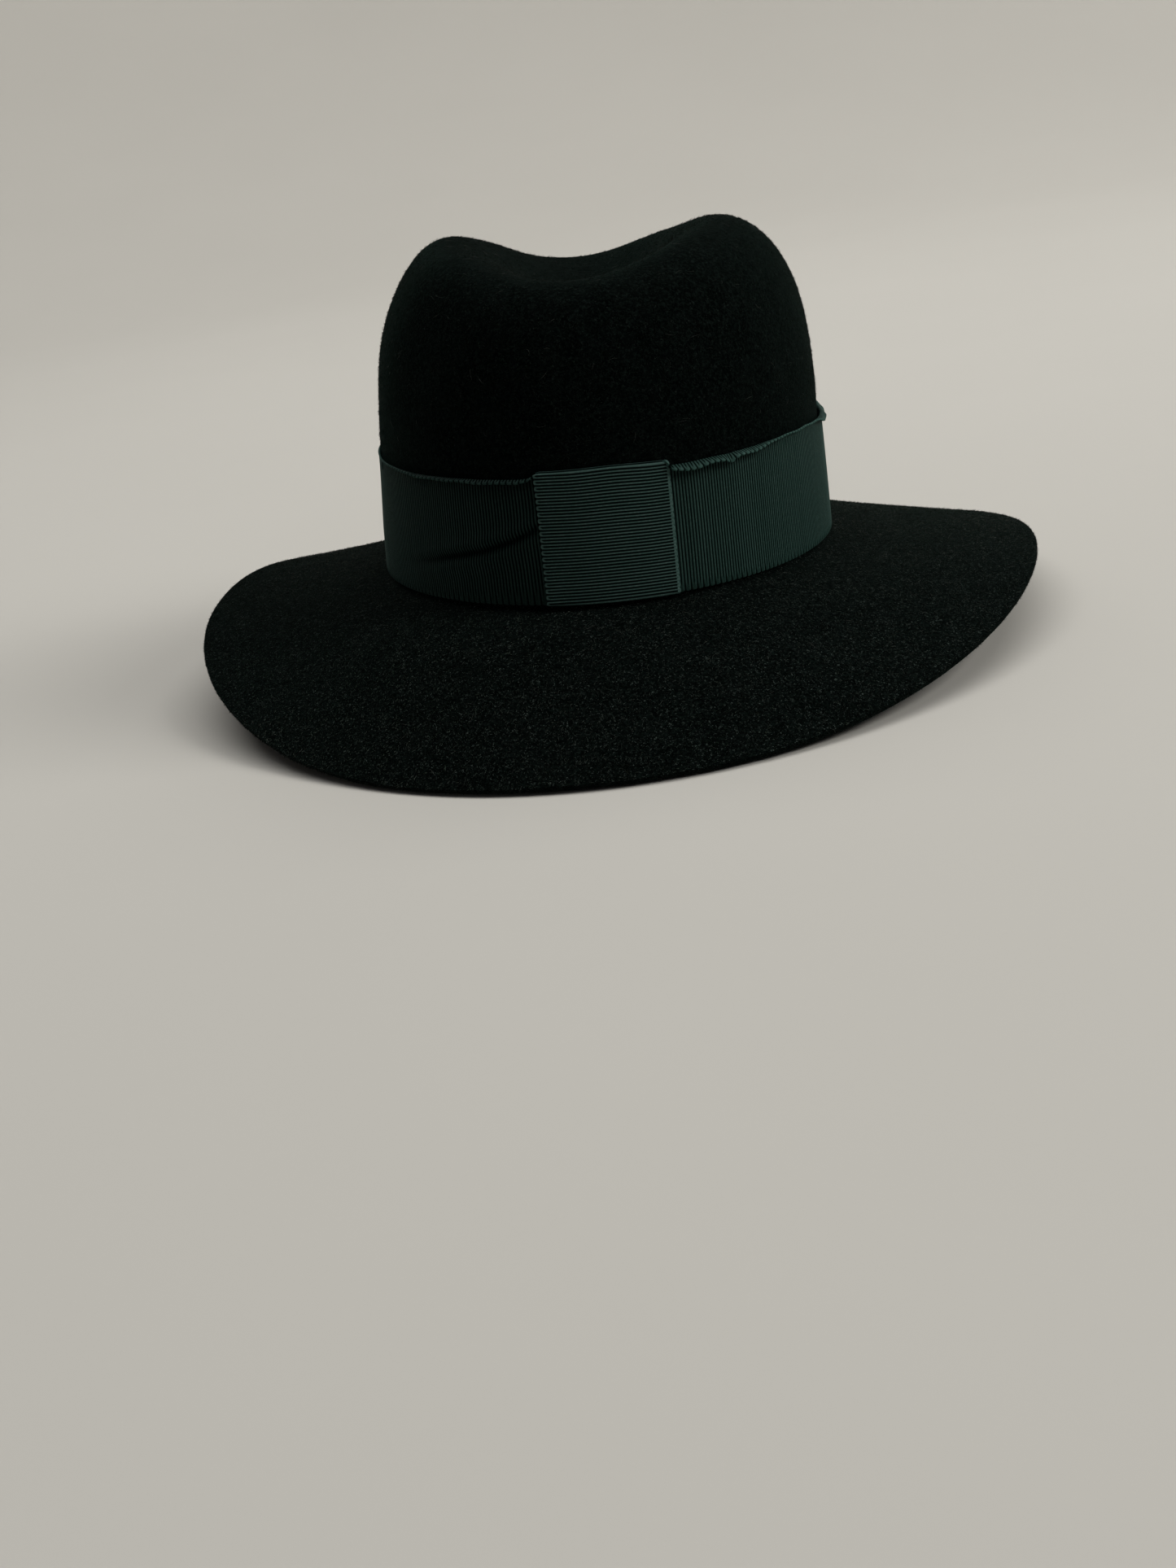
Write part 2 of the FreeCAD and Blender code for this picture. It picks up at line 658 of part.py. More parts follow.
# ------------------------------------------------------------- sweatband bow
# Shares of the bow's half width and half height.
BOW_WAIST = 0.28
BOW_HOLE_OUTER_X, BOW_HOLE_OUTER_Y = 0.86, 0.62
BOW_HOLE_INNER_X, BOW_HOLE_INNER_Y = 0.3, 0.2
KNOT_HALF_WIDTH, KNOT_HALF_HEIGHT = 1.9, 2.1
KNOT_THICK_SHARE = 2.2  # of the bow's thickness
BOW_LEAN = 3.1  # degrees


def rectangle(half_width, half_height):
    return [
        (-half_width, -half_height), (half_width, -half_height),
        (half_width, half_height), (-half_width, half_height),
    ]


def sweatband_bow():
    bow = new_body("sweatband_bow")
    half_w, half_h = size("bow_width") / 2, size("bow_height") / 2
    waist = half_h * BOW_WAIST
    loops = upright_sketch(bow, "bow_loops")
    outline(loops, [
        (-half_w, -half_h), (0, -waist), (half_w, -half_h),
        (half_w, half_h), (0, waist), (-half_w, half_h),
    ])
    bind(loops, "DistanceX", 2, 1, half_w, "Sizes.bow_width / 2")
    bind(loops, "DistanceY", 3, 1, half_h, "Sizes.bow_height / 2")
    outer_y, inner_y = half_h * BOW_HOLE_OUTER_Y, half_h * BOW_HOLE_INNER_Y
    for side in (-1, 1):
        outer_x, inner_x = side * half_w * BOW_HOLE_OUTER_X, side * half_w * BOW_HOLE_INNER_X
        hole = [(outer_x, -outer_y), (inner_x, -inner_y), (inner_x, inner_y), (outer_x, outer_y)]
        if side > 0:
            hole.reverse()
        outline(loops, hole)
    pad(bow, "bow_flat", loops, "Sizes.bow_thick")
    knot = upright_sketch(bow, "bow_knot_outline")
    outline(knot, rectangle(KNOT_HALF_WIDTH, KNOT_HALF_HEIGHT))
    pad(bow, "bow_knot", knot, "Sizes.bow_thick * %s" % KNOT_THICK_SHARE)

    place = oval(math.pi / 2, size("bow_level")) - V(0, size("bow_front"), 0)
    lean = FreeCAD.Rotation(V(1, 0, 0), BOW_LEAN)
    bow.Placement = REST.multiply(FreeCAD.Placement(place, lean))


sweatband_bow()

# ------------------------------------------------------------- size tab
SIZE_TAB_CLEAR = 1.1  # inwards from the sweatband's inner face
SIZE_TAB_LEAN = 3.4  # degrees


def size_tab():
    tab = new_body("size_tab")
    half_w, half_h = size("size_tab_width") / 2, size("size_tab_height") / 2
    sketch = upright_sketch(tab, "size_tab_outline")
    outline(sketch, rectangle(half_w, half_h))
    bind(sketch, "DistanceX", 1, 1, half_w, "Sizes.size_tab_width / 2")
    bind(sketch, "DistanceY", 2, 1, half_h, "Sizes.size_tab_height / 2")
    pad(tab, "size_tab_sheet", sketch, "Sizes.size_tab_thick")

    turn = math.radians(size("size_tab_angle"))
    out = outward(turn)
    sink = -size("sweat_outside") + size("sweat_thick") + SIZE_TAB_CLEAR
    place = oval(turn, size("size_tab_level")) - out * sink
    lean = FreeCAD.Rotation(V(1, 0, 0), SIZE_TAB_LEAN)
    spin = FreeCAD.Rotation(UP, heading(out)).multiply(lean)
    tab.Placement = REST.multiply(FreeCAD.Placement(place, spin))


size_tab()

# ------------------------------------------------------------- lining
PIPING_CLEAR = 0.12  # between the piping and the lining's inner face
LINING_DEPTH = size("lining_outside")
LINING_INNER_DEPTH = LINING_DEPTH + size("lining_thick")
LINING_FIRST = WALL_ROW + WALL_LEVELS.index(LINING_BOTTOM)
# Grid row left free between side and tip lining.
LINING_MEET = SHOULDER_ROW + next(
    i for i, turn in enumerate(SHOULDER_TURNS) if math.degrees(turn) > size("lining_split")
)


def side_lining(outside, inside):
    outer, inner = outside[LINING_FIRST:LINING_MEET], inside[LINING_FIRST:LINING_MEET]
    top, bottom = midway(outer[-1], inner[-1]), midway(inner[0], outer[0])
    return looped(outer + [top] + list(reversed(inner)) + [bottom])


def tip_lining(outside, inside):
    return capped(folded(outside[LINING_MEET + 1:], inside[LINING_MEET + 1:]))


def lining_piping():
    """Cord sewn between the side lining and the tip lining."""
    radius = size("cord_size") / 2
    grid = inset_grid(LINING_INNER_DEPTH + radius + PIPING_CLEAR)
    low, high = grid[LINING_MEET - 1], grid[LINING_MEET + 1]
    centres = midway(low, high)
    frames = []
    for k in range(COLUMNS):
        along = (high[k] - low[k]).normalize()
        inwards = grid[LINING_MEET][k] - OUTER[LINING_MEET][k]
        inwards = (inwards - along * inwards.dot(along)).normalize()
        frames.append((centres[k], along, inwards))
    return looped([
        [
            centre + along * (radius * math.cos(turn)) + inwards * (radius * math.sin(turn))
            for centre, along, inwards in frames
        ]
        for turn in CORD_TURNS
    ])


lining_outside, lining_inside = inset_grid(LINING_DEPTH), inset_grid(LINING_INNER_DEPTH)
feature("lining_side", side_lining(lining_outside, lining_inside))
feature("lining_tip", tip_lining(lining_outside, lining_inside))
feature("lining_piping", lining_piping())

# ------------------------------------------------------------- check and write
doc.recompute()
bad = [
    "%s %s" % (item.Name, item.State)
    for item in doc.Objects
    if "Invalid" in item.State or "Error" in item.State
]
bad += [
    "%s shape" % node.Label
    for node in NODES
    if node.Shape.isNull() or not node.Shape.isValid()
]
if bad:
    raise RuntimeError("; ".join(bad))
for node in NODES:
    node.Shape.exportStep("parts/%s.step" % node.Label)
doc.saveAs("felt_hat.FCStd")
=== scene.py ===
# A dark green felt hat lying on its brim: creased crown, grosgrain band with a tab, and
# inside it a leather sweatband, reed tape, satin lining, bow and size cloth.
# Shapes are worked out in hat millimetres: the head opening is the plane z = 0, +X is
# right, -Y front, and angles run from +X towards +Y. REST tips the hat onto the floor.
import math

import bpy
import numpy as np
from mathutils import Matrix, Vector


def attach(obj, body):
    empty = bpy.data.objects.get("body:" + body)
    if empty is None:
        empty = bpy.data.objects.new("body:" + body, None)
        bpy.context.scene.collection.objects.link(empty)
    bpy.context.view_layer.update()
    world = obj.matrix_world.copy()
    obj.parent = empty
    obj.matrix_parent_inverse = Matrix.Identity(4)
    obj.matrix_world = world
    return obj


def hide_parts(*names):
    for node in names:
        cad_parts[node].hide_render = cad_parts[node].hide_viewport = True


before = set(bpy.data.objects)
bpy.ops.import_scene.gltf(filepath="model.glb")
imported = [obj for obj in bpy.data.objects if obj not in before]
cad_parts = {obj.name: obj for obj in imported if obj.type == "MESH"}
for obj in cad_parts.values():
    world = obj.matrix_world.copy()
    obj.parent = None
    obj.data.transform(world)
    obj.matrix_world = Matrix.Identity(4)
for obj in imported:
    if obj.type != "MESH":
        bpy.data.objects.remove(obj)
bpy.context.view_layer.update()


# ------------------------------------------------------------------ hat dimensions, mm
HALF_X, HALF_Y = 82.94, 102.68  # half axes of the oval head opening
CENTRE_X, CENTRE_Y = 2.00, 0.43
TAPER_X, TAPER_Y = 0.04094, 0.07124  # half axis lost per mm of height
DRIFT_X, DRIFT_Y = -0.01574, 0.01706  # shift of the centre per mm of height

WALL_TOP, CROWN_TOP = 40.0, 143.57
TILT_X, TILT_Y = -0.10863, -0.00277  # slope of the crown top
ROUND_LEFT, ROUND_RIGHT, ROUND_FRONT, ROUND_BACK = 2.159, 2.609, 2.377, 2.457

FELT = 2.0  # thickness
BRIM = 76.7  # width along the surface
BREAK = 2.3  # reach of the rounding between wall and brim, both ways
START_SLOPE = 14.6  # downward slope of the brim at the wall, degrees
BEND_SHARE = 0.5  # share of the width over which it turns to its edge slope

# Downward slope at the brim edge, degrees: mean, then (waves around, sine, cosine)
EDGE_SLOPE = 19.98
SLOPE_WAVES = [
    (1, -8.23, -4.70), (2, 1.78, -12.59), (3, -0.50, 1.16), (4, 0.65, -1.64), (5, 0.80, -0.28),
]
BACK_RISE, BACK_RISE_AT, BACK_RISE_SPREAD = 1.8, 88, 16.0  # degrees

# Crown crease at its middle, front end and back end
CREASE_DEPTH = (52.79, -0.30, 3.96)
CREASE_WIDTH = (46.11, 36.31, 35.60)
CREASE_POWER = 2.209  # how late the end values take over
CREASE_SKEW, CREASE_BACK = 5.50, 15.80  # shift to the left towards the back

BAND_LOW, BAND_HEIGHT = 2.2, 42.0
RIB_PITCH = 1.16

REST_AXIS = Vector((-0.5978, 0.8017, 0.0)).normalized()
REST_TURN = Matrix.Rotation(math.radians(3.795), 4, REST_AXIS)
REST = Matrix.Translation((-1.88, -2.79, 35.32)) @ REST_TURN
REST_ARRAY = np.array(REST)


# ------------------------------------------------------------------ hat surface
def to_scene(points):
    """Hat millimetres to scene metres."""
    return (np.asarray(points, float) @ REST_ARRAY[:3, :3].T + REST_ARRAY[:3, 3]) / 1000.0


def unit(vectors):
    return vectors / np.maximum(np.linalg.norm(vectors, axis=-1, keepdims=True), 1e-9)


def oval(angle, z, offset=0.0):
    """Points on the crown wall at a height, moved outwards by an offset."""
    angle, z, offset = np.broadcast_arrays(
        np.asarray(angle, float), np.asarray(z, float), np.asarray(offset, float))
    half_x = HALF_X - z * TAPER_X
    half_y = HALF_Y - z * TAPER_Y
    cos, sin = np.cos(angle), np.sin(angle)
    out_x, out_y = cos / half_x, sin / half_y
    size = np.hypot(out_x, out_y)
    x = CENTRE_X + z * DRIFT_X + half_x * cos + offset * out_x / size
    y = CENTRE_Y + z * DRIFT_Y + half_y * sin + offset * out_y / size
    return np.stack([x, y, z], -1)


def edge_slope(angle):
    from_back = angle - math.radians(BACK_RISE_AT)
    from_back = np.degrees(np.arctan2(np.sin(from_back), np.cos(from_back)))
    slope = EDGE_SLOPE + 0 * angle
    for waves, sine, cosine in SLOPE_WAVES:
        slope = slope + sine * np.sin(waves * angle) + cosine * np.cos(waves * angle)
    return slope - BACK_RISE * np.exp(-((from_back / BACK_RISE_SPREAD) ** 2))


def brim_curve(angles, stations):
    """Reach and height of the brim at distances along its surface, one column per angle."""
    start = math.radians(START_SLOPE)
    end = np.radians(edge_slope(angles))
    at = np.linspace(0, BRIM, int(round(BRIM / 0.5)) + 1)
    share = (at[1:] + at[:-1]) / 2 / BRIM
    slope = start + (end - start) * np.minimum(1.0, share / BEND_SHARE)[:, None]
    zero = np.zeros((1, len(angles)))
    reach = np.concatenate([zero, np.cumsum(np.cos(slope) * at[1], 0)])
    height = -np.concatenate([zero, np.cumsum(np.sin(slope) * at[1], 0)])
    return [np.stack([np.interp(stations, at, column) for column in values.T], -1)
            for values in (reach, height)]


def crease(x, y, z):
    """Height z after the crease is pressed into the crown."""
    back = np.clip(y / HALF_Y, -1, 1)
    front_share = np.clip(-back, 0, 1) ** CREASE_POWER
    back_share = np.clip(back, 0, 1) ** CREASE_POWER
    depth, width = [
        middle + (front_end - middle) * front_share + (back_end - middle) * back_share
        for middle, front_end, back_end in (CREASE_DEPTH, CREASE_WIDTH)]
    line = -CREASE_SKEW * back - (CREASE_BACK - CREASE_SKEW) * np.clip(back, 0, None) ** 2
    share = np.clip((z - WALL_TOP) / (CROWN_TOP - WALL_TOP), 0, 1.2) ** 2
    return z - depth * np.exp(-(((x - line) / width) ** 2)) * share


def shoulder(angle, turn):
    """Crown above the wall: turn runs from 0 at the wall to a right angle at the middle."""
    cos, sin = np.cos(angle), np.sin(angle)
    power = (np.where(cos < 0, ROUND_LEFT, ROUND_RIGHT) * cos * cos
             + np.where(sin < 0, ROUND_FRONT, ROUND_BACK) * sin * sin)
    inward = np.cos(turn) ** (2.0 / power)
    up = np.sin(turn) ** (2.0 / power)
    x = inward * (HALF_X - WALL_TOP * TAPER_X) * cos
    y = inward * (HALF_Y - WALL_TOP * TAPER_Y) * sin
    z = WALL_TOP + (CROWN_TOP - WALL_TOP) * up + (TILT_Y * y + TILT_X * x) * up * up
    x = x + CENTRE_X + WALL_TOP * DRIFT_X + DRIFT_X * (z - WALL_TOP) * 0.5
    y = y + CENTRE_Y + WALL_TOP * DRIFT_Y
    return np.stack([x, y, crease(x, y, z)], -1)


def unevenness(points, seed, size):
    """Smooth, repeatable noise: a few plane waves of about the given size in mm."""
    draw = np.random.default_rng(seed)
    total = np.zeros(points.shape[:-1])
    count = 9
    for _ in range(count):
        heading = draw.normal(size=3)
        heading /= np.linalg.norm(heading)
        rate = 2 * math.pi / (size * draw.uniform(0.7, 1.6))
        total += np.sin(points @ heading * rate + draw.uniform(0, 2 * math.pi))
    return total / count ** 0.5 / 1.2


def grid_normals(grid):
    """Outward normals of a grid whose rows run from the brim edge to the crown middle."""
    around = np.roll(grid, -1, 1) - np.roll(grid, 1, 1)
    return unit(np.cross(around, np.gradient(grid, axis=0)))


BREAK_SHARES = (0.2, 0.4, 0.6, 0.8)  # rows rounding the corner between brim and wall


def outer_grid(angles, stations):
    """Rows over the hat from the brim's outermost station to the middle of the crown."""
    reach, height = brim_curve(angles, stations)
    out_x, out_y = np.cos(angles) / HALF_X, np.sin(angles) / HALF_Y
    size = np.hypot(out_x, out_y)
    base = oval(angles, 0.0)
    rows = [
        np.stack([base[:, 0] + out_x / size * r, base[:, 1] + out_y / size * r, z], -1)
        for r, z in zip(reach, height)][::-1]
    brim_end, wall_end = rows[-1], oval(angles, WALLS[0])
    for q in BREAK_SHARES:
        rows.append((1 - q) ** 2 * brim_end + 2 * q * (1 - q) * base + q * q * wall_end)
    rows += [oval(angles, z) for z in WALLS]
    rows += [shoulder(angles, turn) for turn in TURNS]
    rows[-1][:, 2] = rows[-1][:, 2].mean()
    return np.array(rows)


COLUMNS = 400
ANGLES = np.linspace(0, 2 * math.pi, COLUMNS, endpoint=False)
STATIONS = np.concatenate([
    [BREAK, 3.5, 5.0], np.arange(7.0, 75.0, 1.7), [75.4, BRIM - 0.5, BRIM - 0.15, BRIM]])
WALLS = np.concatenate([[BREAK, 3.6], np.arange(5.5, 40.5, 2.3), [WALL_TOP]])
TURNS = np.radians(88.0) * np.arange(1, 67) / 66.0
BRIM_ROWS = len(STATIONS)
# Lining seam, in rows after the brim: where the shoulder has turned 46 degrees
SEAM_ROW = len(BREAK_SHARES) + len(WALLS) + int(np.argmax(np.degrees(TURNS) > 46.0))


def uneven_felt():
    """The ideal surface, the one with a waving brim, and the one with crown marks too."""
    ideal = outer_grid(ANGLES, STATIONS)
    on_crown = np.zeros(len(ideal) - BRIM_ROWS)
    reach = np.concatenate([STATIONS[::-1] / BRIM, on_crown])[:, None]
    lift = 0.5 * np.clip(unevenness(ideal, seed=4, size=120.0) + 0.35, 0, None) * reach ** 2
    # a ripple on the left of the brim, slightly to the back
    from_left = np.degrees(ANGLES) - 158.0
    ripple = 0.3 + 0.9 * np.sin(np.radians(from_left * 7.0))
    lift = lift + np.exp(-((from_left / 24.0) ** 2)) * reach ** 1.5 * ripple
    waved = ideal.copy()
    waved[..., 2] += lift
    high = np.clip((waved[..., 2] - 50.0) / 20.0, 0, 1) * (reach == 0)
    marks = 0.55 * unevenness(waved, seed=9, size=55.0) * high
    return ideal, waved, waved + grid_normals(waved) * marks[..., None]


IDEAL, WAVED, SKIN = uneven_felt()
IDEAL_NORMAL, NORMAL = grid_normals(IDEAL), grid_normals(SKIN)


def sunk(grid, normals, depth):
    """The grid moved inwards by a depth."""
    return grid - normals * np.asarray(depth)[..., None]


# ------------------------------------------------------------------ mesh tools
def mesh_object(name, points, faces, smooth=True):
    mesh = bpy.data.meshes.new(name)
    mesh.from_pydata([tuple(p) for p in np.asarray(points).reshape(-1, 3).tolist()], [], faces)
    mesh.validate()
    if smooth:
        mesh.polygons.foreach_set("use_smooth", [True] * len(mesh.polygons))
    mesh.update()
    ob = bpy.data.objects.new(name, mesh)
    bpy.context.scene.collection.objects.link(ob)
    return ob


def quads(rows, columns, ring_columns=True, ring_rows=False, flip=False):
    i = np.arange(rows if ring_rows else rows - 1)[:, None]
    j = np.arange(columns if ring_columns else columns - 1)[None, :]
    next_i, next_j = (i + 1) % rows, (j + 1) % columns
    corners = [i * columns + j, i * columns + next_j,
               next_i * columns + next_j, next_i * columns + j]
    faces = np.stack(corners, -1).reshape(-1, 4)
    return (faces[:, ::-1] if flip else faces).tolist()


def ring_mesh(name, rows, flip=False):
    """A tube that closes on itself both ways."""
    faces = quads(*rows.shape[:2], ring_rows=True, flip=flip)
    return mesh_object(name, to_scene(rows), faces)


def capped_mesh(name, rows, flip=False):
    """A tube whose first and last columns are closed with fans."""
    count, n = rows.shape[:2]
    faces = quads(count, n, ring_columns=False, ring_rows=True, flip=flip)
    first, last = count * n, count * n + 1
    for i in range(count):
        j = (i + 1) % count
        a, b = (j, i) if flip else (i, j)
        faces.append([a * n, b * n, first])
        faces.append([b * n + n - 1, a * n + n - 1, last])
    points = np.vstack([rows.reshape(-1, 3), rows[:, 0].mean(0), rows[:, -1].mean(0)])
    return mesh_object(name, to_scene(points), faces)


def shell_mesh(name, rows):
    """A shell whose rows go from its inside middle over the rim to its outside middle."""
    count, n = rows.shape[:2]
    faces = quads(count, n)
    for j in range(n):
        k = (j + 1) % n
        faces.append([k, j, count * n])
        faces.append([(count - 1) * n + j, (count - 1) * n + k, count * n + 1])
    points = np.vstack([rows.reshape(-1, 3), rows[0].mean(0), rows[-1].mean(0)])
    return mesh_object(name, to_scene(points), faces)


def point_attribute(ob, name, values):
    """Numbers, or triples of them, stored on the vertices."""
    values = np.asarray(values, np.float32)
    kind, field = ("FLOAT", "value") if values.ndim == 1 else ("FLOAT_VECTOR", "vector")
    ob.data.attributes.new(name, kind, "POINT").data.foreach_set(field, values.reshape(-1))


def give(ob, material):
    ob.data.materials.clear()
    ob.data.materials.append(material)


def place(ob, material, slot, *cad_nodes):
    give(ob, material)
    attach(ob, "root")
    if cad_nodes:
        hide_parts(*cad_nodes)


# ------------------------------------------------------------------ materials
def times(colour, factor):
    return tuple(channel * factor for channel in colour)


class Shader:
    """A new material with a Principled surface, and short ways to add nodes to it."""

    def __init__(self, name):
        self.material = bpy.data.materials.new(name)
        self.material.use_nodes = True
        self.tree = self.material.node_tree
        self.tree.nodes.clear()
        output = self.add("OutputMaterial")
        self.surface = self.add("BsdfPrincipled")
        self.feed(output, {"Surface": self.surface.outputs["BSDF"]})
        self.point = self.add("TexCoord").outputs["Object"]

    def add(self, kind, inputs=None, **settings):
        made = self.tree.nodes.new("ShaderNode" + kind)
        for key, value in settings.items():
            setattr(made, key, value)
        self.feed(made, inputs or {})
        return made

    def feed(self, to_node, inputs):
        """Link the inputs given as sockets and set the others."""
        for key, value in inputs.items():
            socket = to_node.inputs[key]
            if isinstance(value, bpy.types.NodeSocket):
                self.tree.links.new(value, socket)
            else:
                socket.default_value = (*value, 1.0) if socket.type == "RGBA" else value

    def ramp(self, fac, *stops):
        """Stops are (position, grey level or colour)."""
        made = self.add("ValToRGB", {"Fac": fac})
        elements = made.color_ramp.elements
        while len(elements) < len(stops):
            elements.new(0.5)
        for element, (position, colour) in zip(elements, stops):
            element.position = position
            element.color = (*((colour,) * 3 if np.ndim(colour) == 0 else colour), 1.0)
        return made.outputs["Color"]

    def mix(self, share, first, second, blend="MIX"):
        inputs = {0: share, 6: first, 7: second}
        return self.add("Mix", inputs, data_type="RGBA", blend_type=blend).outputs[2]

    def math(self, operation, *values):
        return self.add("Math", dict(enumerate(values)), operation=operation).outputs[0]

    def noise(self, scale, detail=3.0, rough=0.5, distortion=0.0, point=None):
        return self.add("TexNoise", {
            "Scale": scale, "Detail": detail, "Roughness": rough, "Distortion": distortion,
            "Vector": point or self.point}).outputs["Fac"]

    def attribute(self, name, output="Fac"):
        return self.add("Attribute", attribute_name=name).outputs[output]

    def bump(self, height, strength, distance, over=None):
        inputs = {"Strength": strength, "Distance": distance, "Height": height}
        if over is not None:
            inputs["Normal"] = over
        return self.add("Bump", inputs).outputs["Normal"]

    def finish(self, inputs):
        self.feed(self.surface, inputs)
        return self.material


def felt_material():
    m = Shader("hat_felt")
    broad = m.noise(scale=22.0, rough=0.55)
    cloud = m.noise(scale=120.0, detail=4.0, rough=0.6, distortion=0.3)
    nap = m.noise(scale=900.0, detail=4.0, rough=0.65, distortion=0.6)
    fleck = m.noise(scale=1500.0, detail=2.0, rough=0.6, distortion=1.2)
    # from the near-black ground to ever finer and paler layers
    colour = m.mix(m.ramp(broad, (0.35, 0), (0.68, 1)),
                   first=(0.0002, 0.0006, 0.0005), second=(0.0006, 0.0014, 0.0011))
    colour = m.mix(m.ramp(cloud, (0.38, 0), (0.66, 1)), colour, second=(0.0014, 0.0024, 0.0021))
    # fewer flecks where the "nap" attribute is low: partly smoother nap, partly painted shade on
    # the crown front and the cut edge
    nap_and_painted_shade = m.attribute("nap")
    colour = m.mix(m.ramp(nap, (0.47, 0), (0.66, 0.9)), colour, second=(0.0050, 0.0084, 0.0072))
    fleck_share = m.math("MULTIPLY", m.ramp(fleck, (0.61, 0), (0.70, 1)), nap_and_painted_shade)
    colour = m.mix(fleck_share, colour, second=(0.048, 0.062, 0.056))
    height = m.math("ADD", m.math("MULTIPLY", nap, 0.7), m.math("MULTIPLY", fleck, 0.5))
    soft = m.bump(cloud, strength=0.25, distance=0.0006)
    return m.finish({
        "Base Color": colour, "Roughness": 0.95, "Specular IOR Level": 0.01,
        "Sheen Weight": 0.030, "Sheen Roughness": 0.30, "Sheen Tint": (0.42, 1.0, 0.80),
        "Normal": m.bump(height, strength=0.9, distance=0.00045, over=soft)})


def fibre_material(name, dark, light, patchy=False):
    """Loose fibres; patchy ones darken in broad patches."""
    m = Shader(name)
    colour = m.ramp(m.noise(scale=420.0, detail=2.0), (0.35, dark), (0.70, light))
    if patchy:
        broad = m.noise(scale=22.0, rough=0.55)
        patch = m.ramp(broad, (0.38, (0.40, 0.58, 0.48)), (0.62, 1.0))
        colour = m.mix(1.0, colour, patch, blend="MULTIPLY")
    fine = m.noise(scale=5000.0, detail=2.0)
    return m.finish({
        "Base Color": colour, "Roughness": 0.8, "Specular IOR Level": 0.06,
        "Sheen Weight": 0.01, "Sheen Tint": (0.6, 0.8, 0.7),
        "Normal": m.bump(fine, strength=0.3, distance=0.0001)})


def grosgrain_material(name, brightness, tint, groove_shade_from, groove_shade_to):
    """Ribbed ribbon. Attribute "strip" holds mm across the ribs, mm along them and the
    rib profile; painted shade in the grooves between ribs fades out between two given profile
    values."""
    m = Shader(name)
    strip = m.attribute("strip", "Vector")
    across, along, profile = m.add("SeparateXYZ", {0: strip}).outputs
    # threads wound over each rib: a fine ripple running the other way
    ripple = m.math("SINE", m.math("MULTIPLY", along, 2 * math.pi / 0.24))
    rib = m.math("FLOOR", m.math("DIVIDE", across, RIB_PITCH))
    rib_random = m.add("TexWhiteNoise", {"W": rib}, noise_dimensions="1D").outputs["Value"]
    broad = m.noise(scale=30.0)
    slub = m.noise(scale=1400.0, detail=2.0, rough=0.6)
    colour = m.mix(broad, first=times((0.0150, 0.0420, 0.0350), brightness),
                   second=times((0.0200, 0.0520, 0.0440), brightness))
    rib_share = m.math("MULTIPLY", rib_random, 0.35)
    colour = m.mix(rib_share, colour, second=times((0.0340, 0.0760, 0.0660), brightness))
    slub_share = m.ramp(slub, (0.5, 0), (0.78, 0.5))
    colour = m.mix(slub_share, colour, second=times((0.055, 0.105, 0.092), brightness))
    # painted shade: where the rib profile is low, in the grooves between ribs and in the band's
    # fold, the colour goes near black and sheen and specular are cut
    groove_shade = m.ramp(profile, (0.0, 0.98), (groove_shade_from, 0.94), (groove_shade_to, 0))
    colour = m.mix(groove_shade, colour, second=times((0.0004, 0.0013, 0.0011), brightness))
    thread = m.math("SUBTRACT", 1.0, groove_shade)
    # the multiplier read here carries painted light and shade on the band and is 1 on the tab
    painted_light = m.attribute("painted_light")
    shade = m.add("CombineColor", {k: m.math("MULTIPLY", painted_light, tint[k]) for k in range(3)})
    colour = m.mix(1.0, colour, shade.outputs[0], blend="MULTIPLY")
    wound = m.bump(ripple, strength=0.35, distance=0.00006)
    return m.finish({
        "Base Color": colour, "Roughness": 0.60,
        "Specular IOR Level": m.math("MULTIPLY", thread, 0.08),
        "Sheen Weight": m.math("MULTIPLY", thread, 0.042),
        "Sheen Roughness": 0.32, "Sheen Tint": (0.45, 0.95, 0.82),
        "Normal": m.bump(slub, strength=0.25, distance=0.00015, over=wound)})


def leather_material():
    m = Shader("hat_leather")
    grain = m.add("TexVoronoi", {"Scale": 900.0, "Vector": m.point}, feature="DISTANCE_TO_EDGE")
    grain = grain.outputs["Distance"]
    cloud = m.noise(scale=45.0, detail=4.0, rough=0.6)
    pore = m.noise(scale=2600.0, detail=2.0)
    colour = m.mix(cloud, first=(0.115, 0.052, 0.024), second=(0.20, 0.098, 0.048))
    grooves = m.ramp(grain, (0.0, 0.7), (0.12, 0))
    colour = m.mix(grooves, colour, second=(0.07, 0.030, 0.014))
    grained = m.bump(grain, strength=0.35, distance=0.00025)
    return m.finish({
        "Base Color": colour, "Roughness": m.ramp(cloud, (0.3, 0.42), (0.7, 0.6)),
        "Normal": m.bump(pore, strength=0.15, distance=0.0001, over=grained)})


def satin_material(name, dark, light):
    m = Shader(name)
    stretched = m.add("Mapping", {"Scale": (1.0, 1.0, 0.12), "Vector": m.point})
    streak = m.noise(scale=2200.0, detail=2.0, rough=0.6, point=stretched.outputs["Vector"])
    colour = m.mix(m.noise(scale=40.0), dark, light)
    streaks = m.ramp(streak, (0.45, 0), (0.75, 0.6))
    return m.finish({
        "Base Color": m.mix(streaks, colour, second=times(light, 1.9)), "Roughness": 0.34,
        "Sheen Weight": 0.25, "Sheen Tint": (0.8, 1.0, 0.92),
        "Normal": m.bump(streak, strength=0.2, distance=0.0001)})


def woven_material(name, dark, light, scale):
    m = Shader(name)
    warp, weft = [
        m.add("TexWave", {"Scale": scale / 6.0, "Distortion": 1.0, "Detail": 1.0,
                          "Vector": m.point}, bands_direction=axis).outputs["Fac"]
        for axis in "XZ"]
    weave = m.math("MULTIPLY", warp, weft)
    cloud = m.noise(scale=scale / 4.0)
    colour = m.mix(weave, dark, light)
    colour = m.mix(m.math("MULTIPLY", cloud, 0.4), colour, second=times(dark, 0.6))
    return m.finish({
        "Base Color": colour, "Roughness": 0.85, "Sheen Weight": 0.1,
        "Normal": m.bump(weave, strength=0.4, distance=0.00015)})


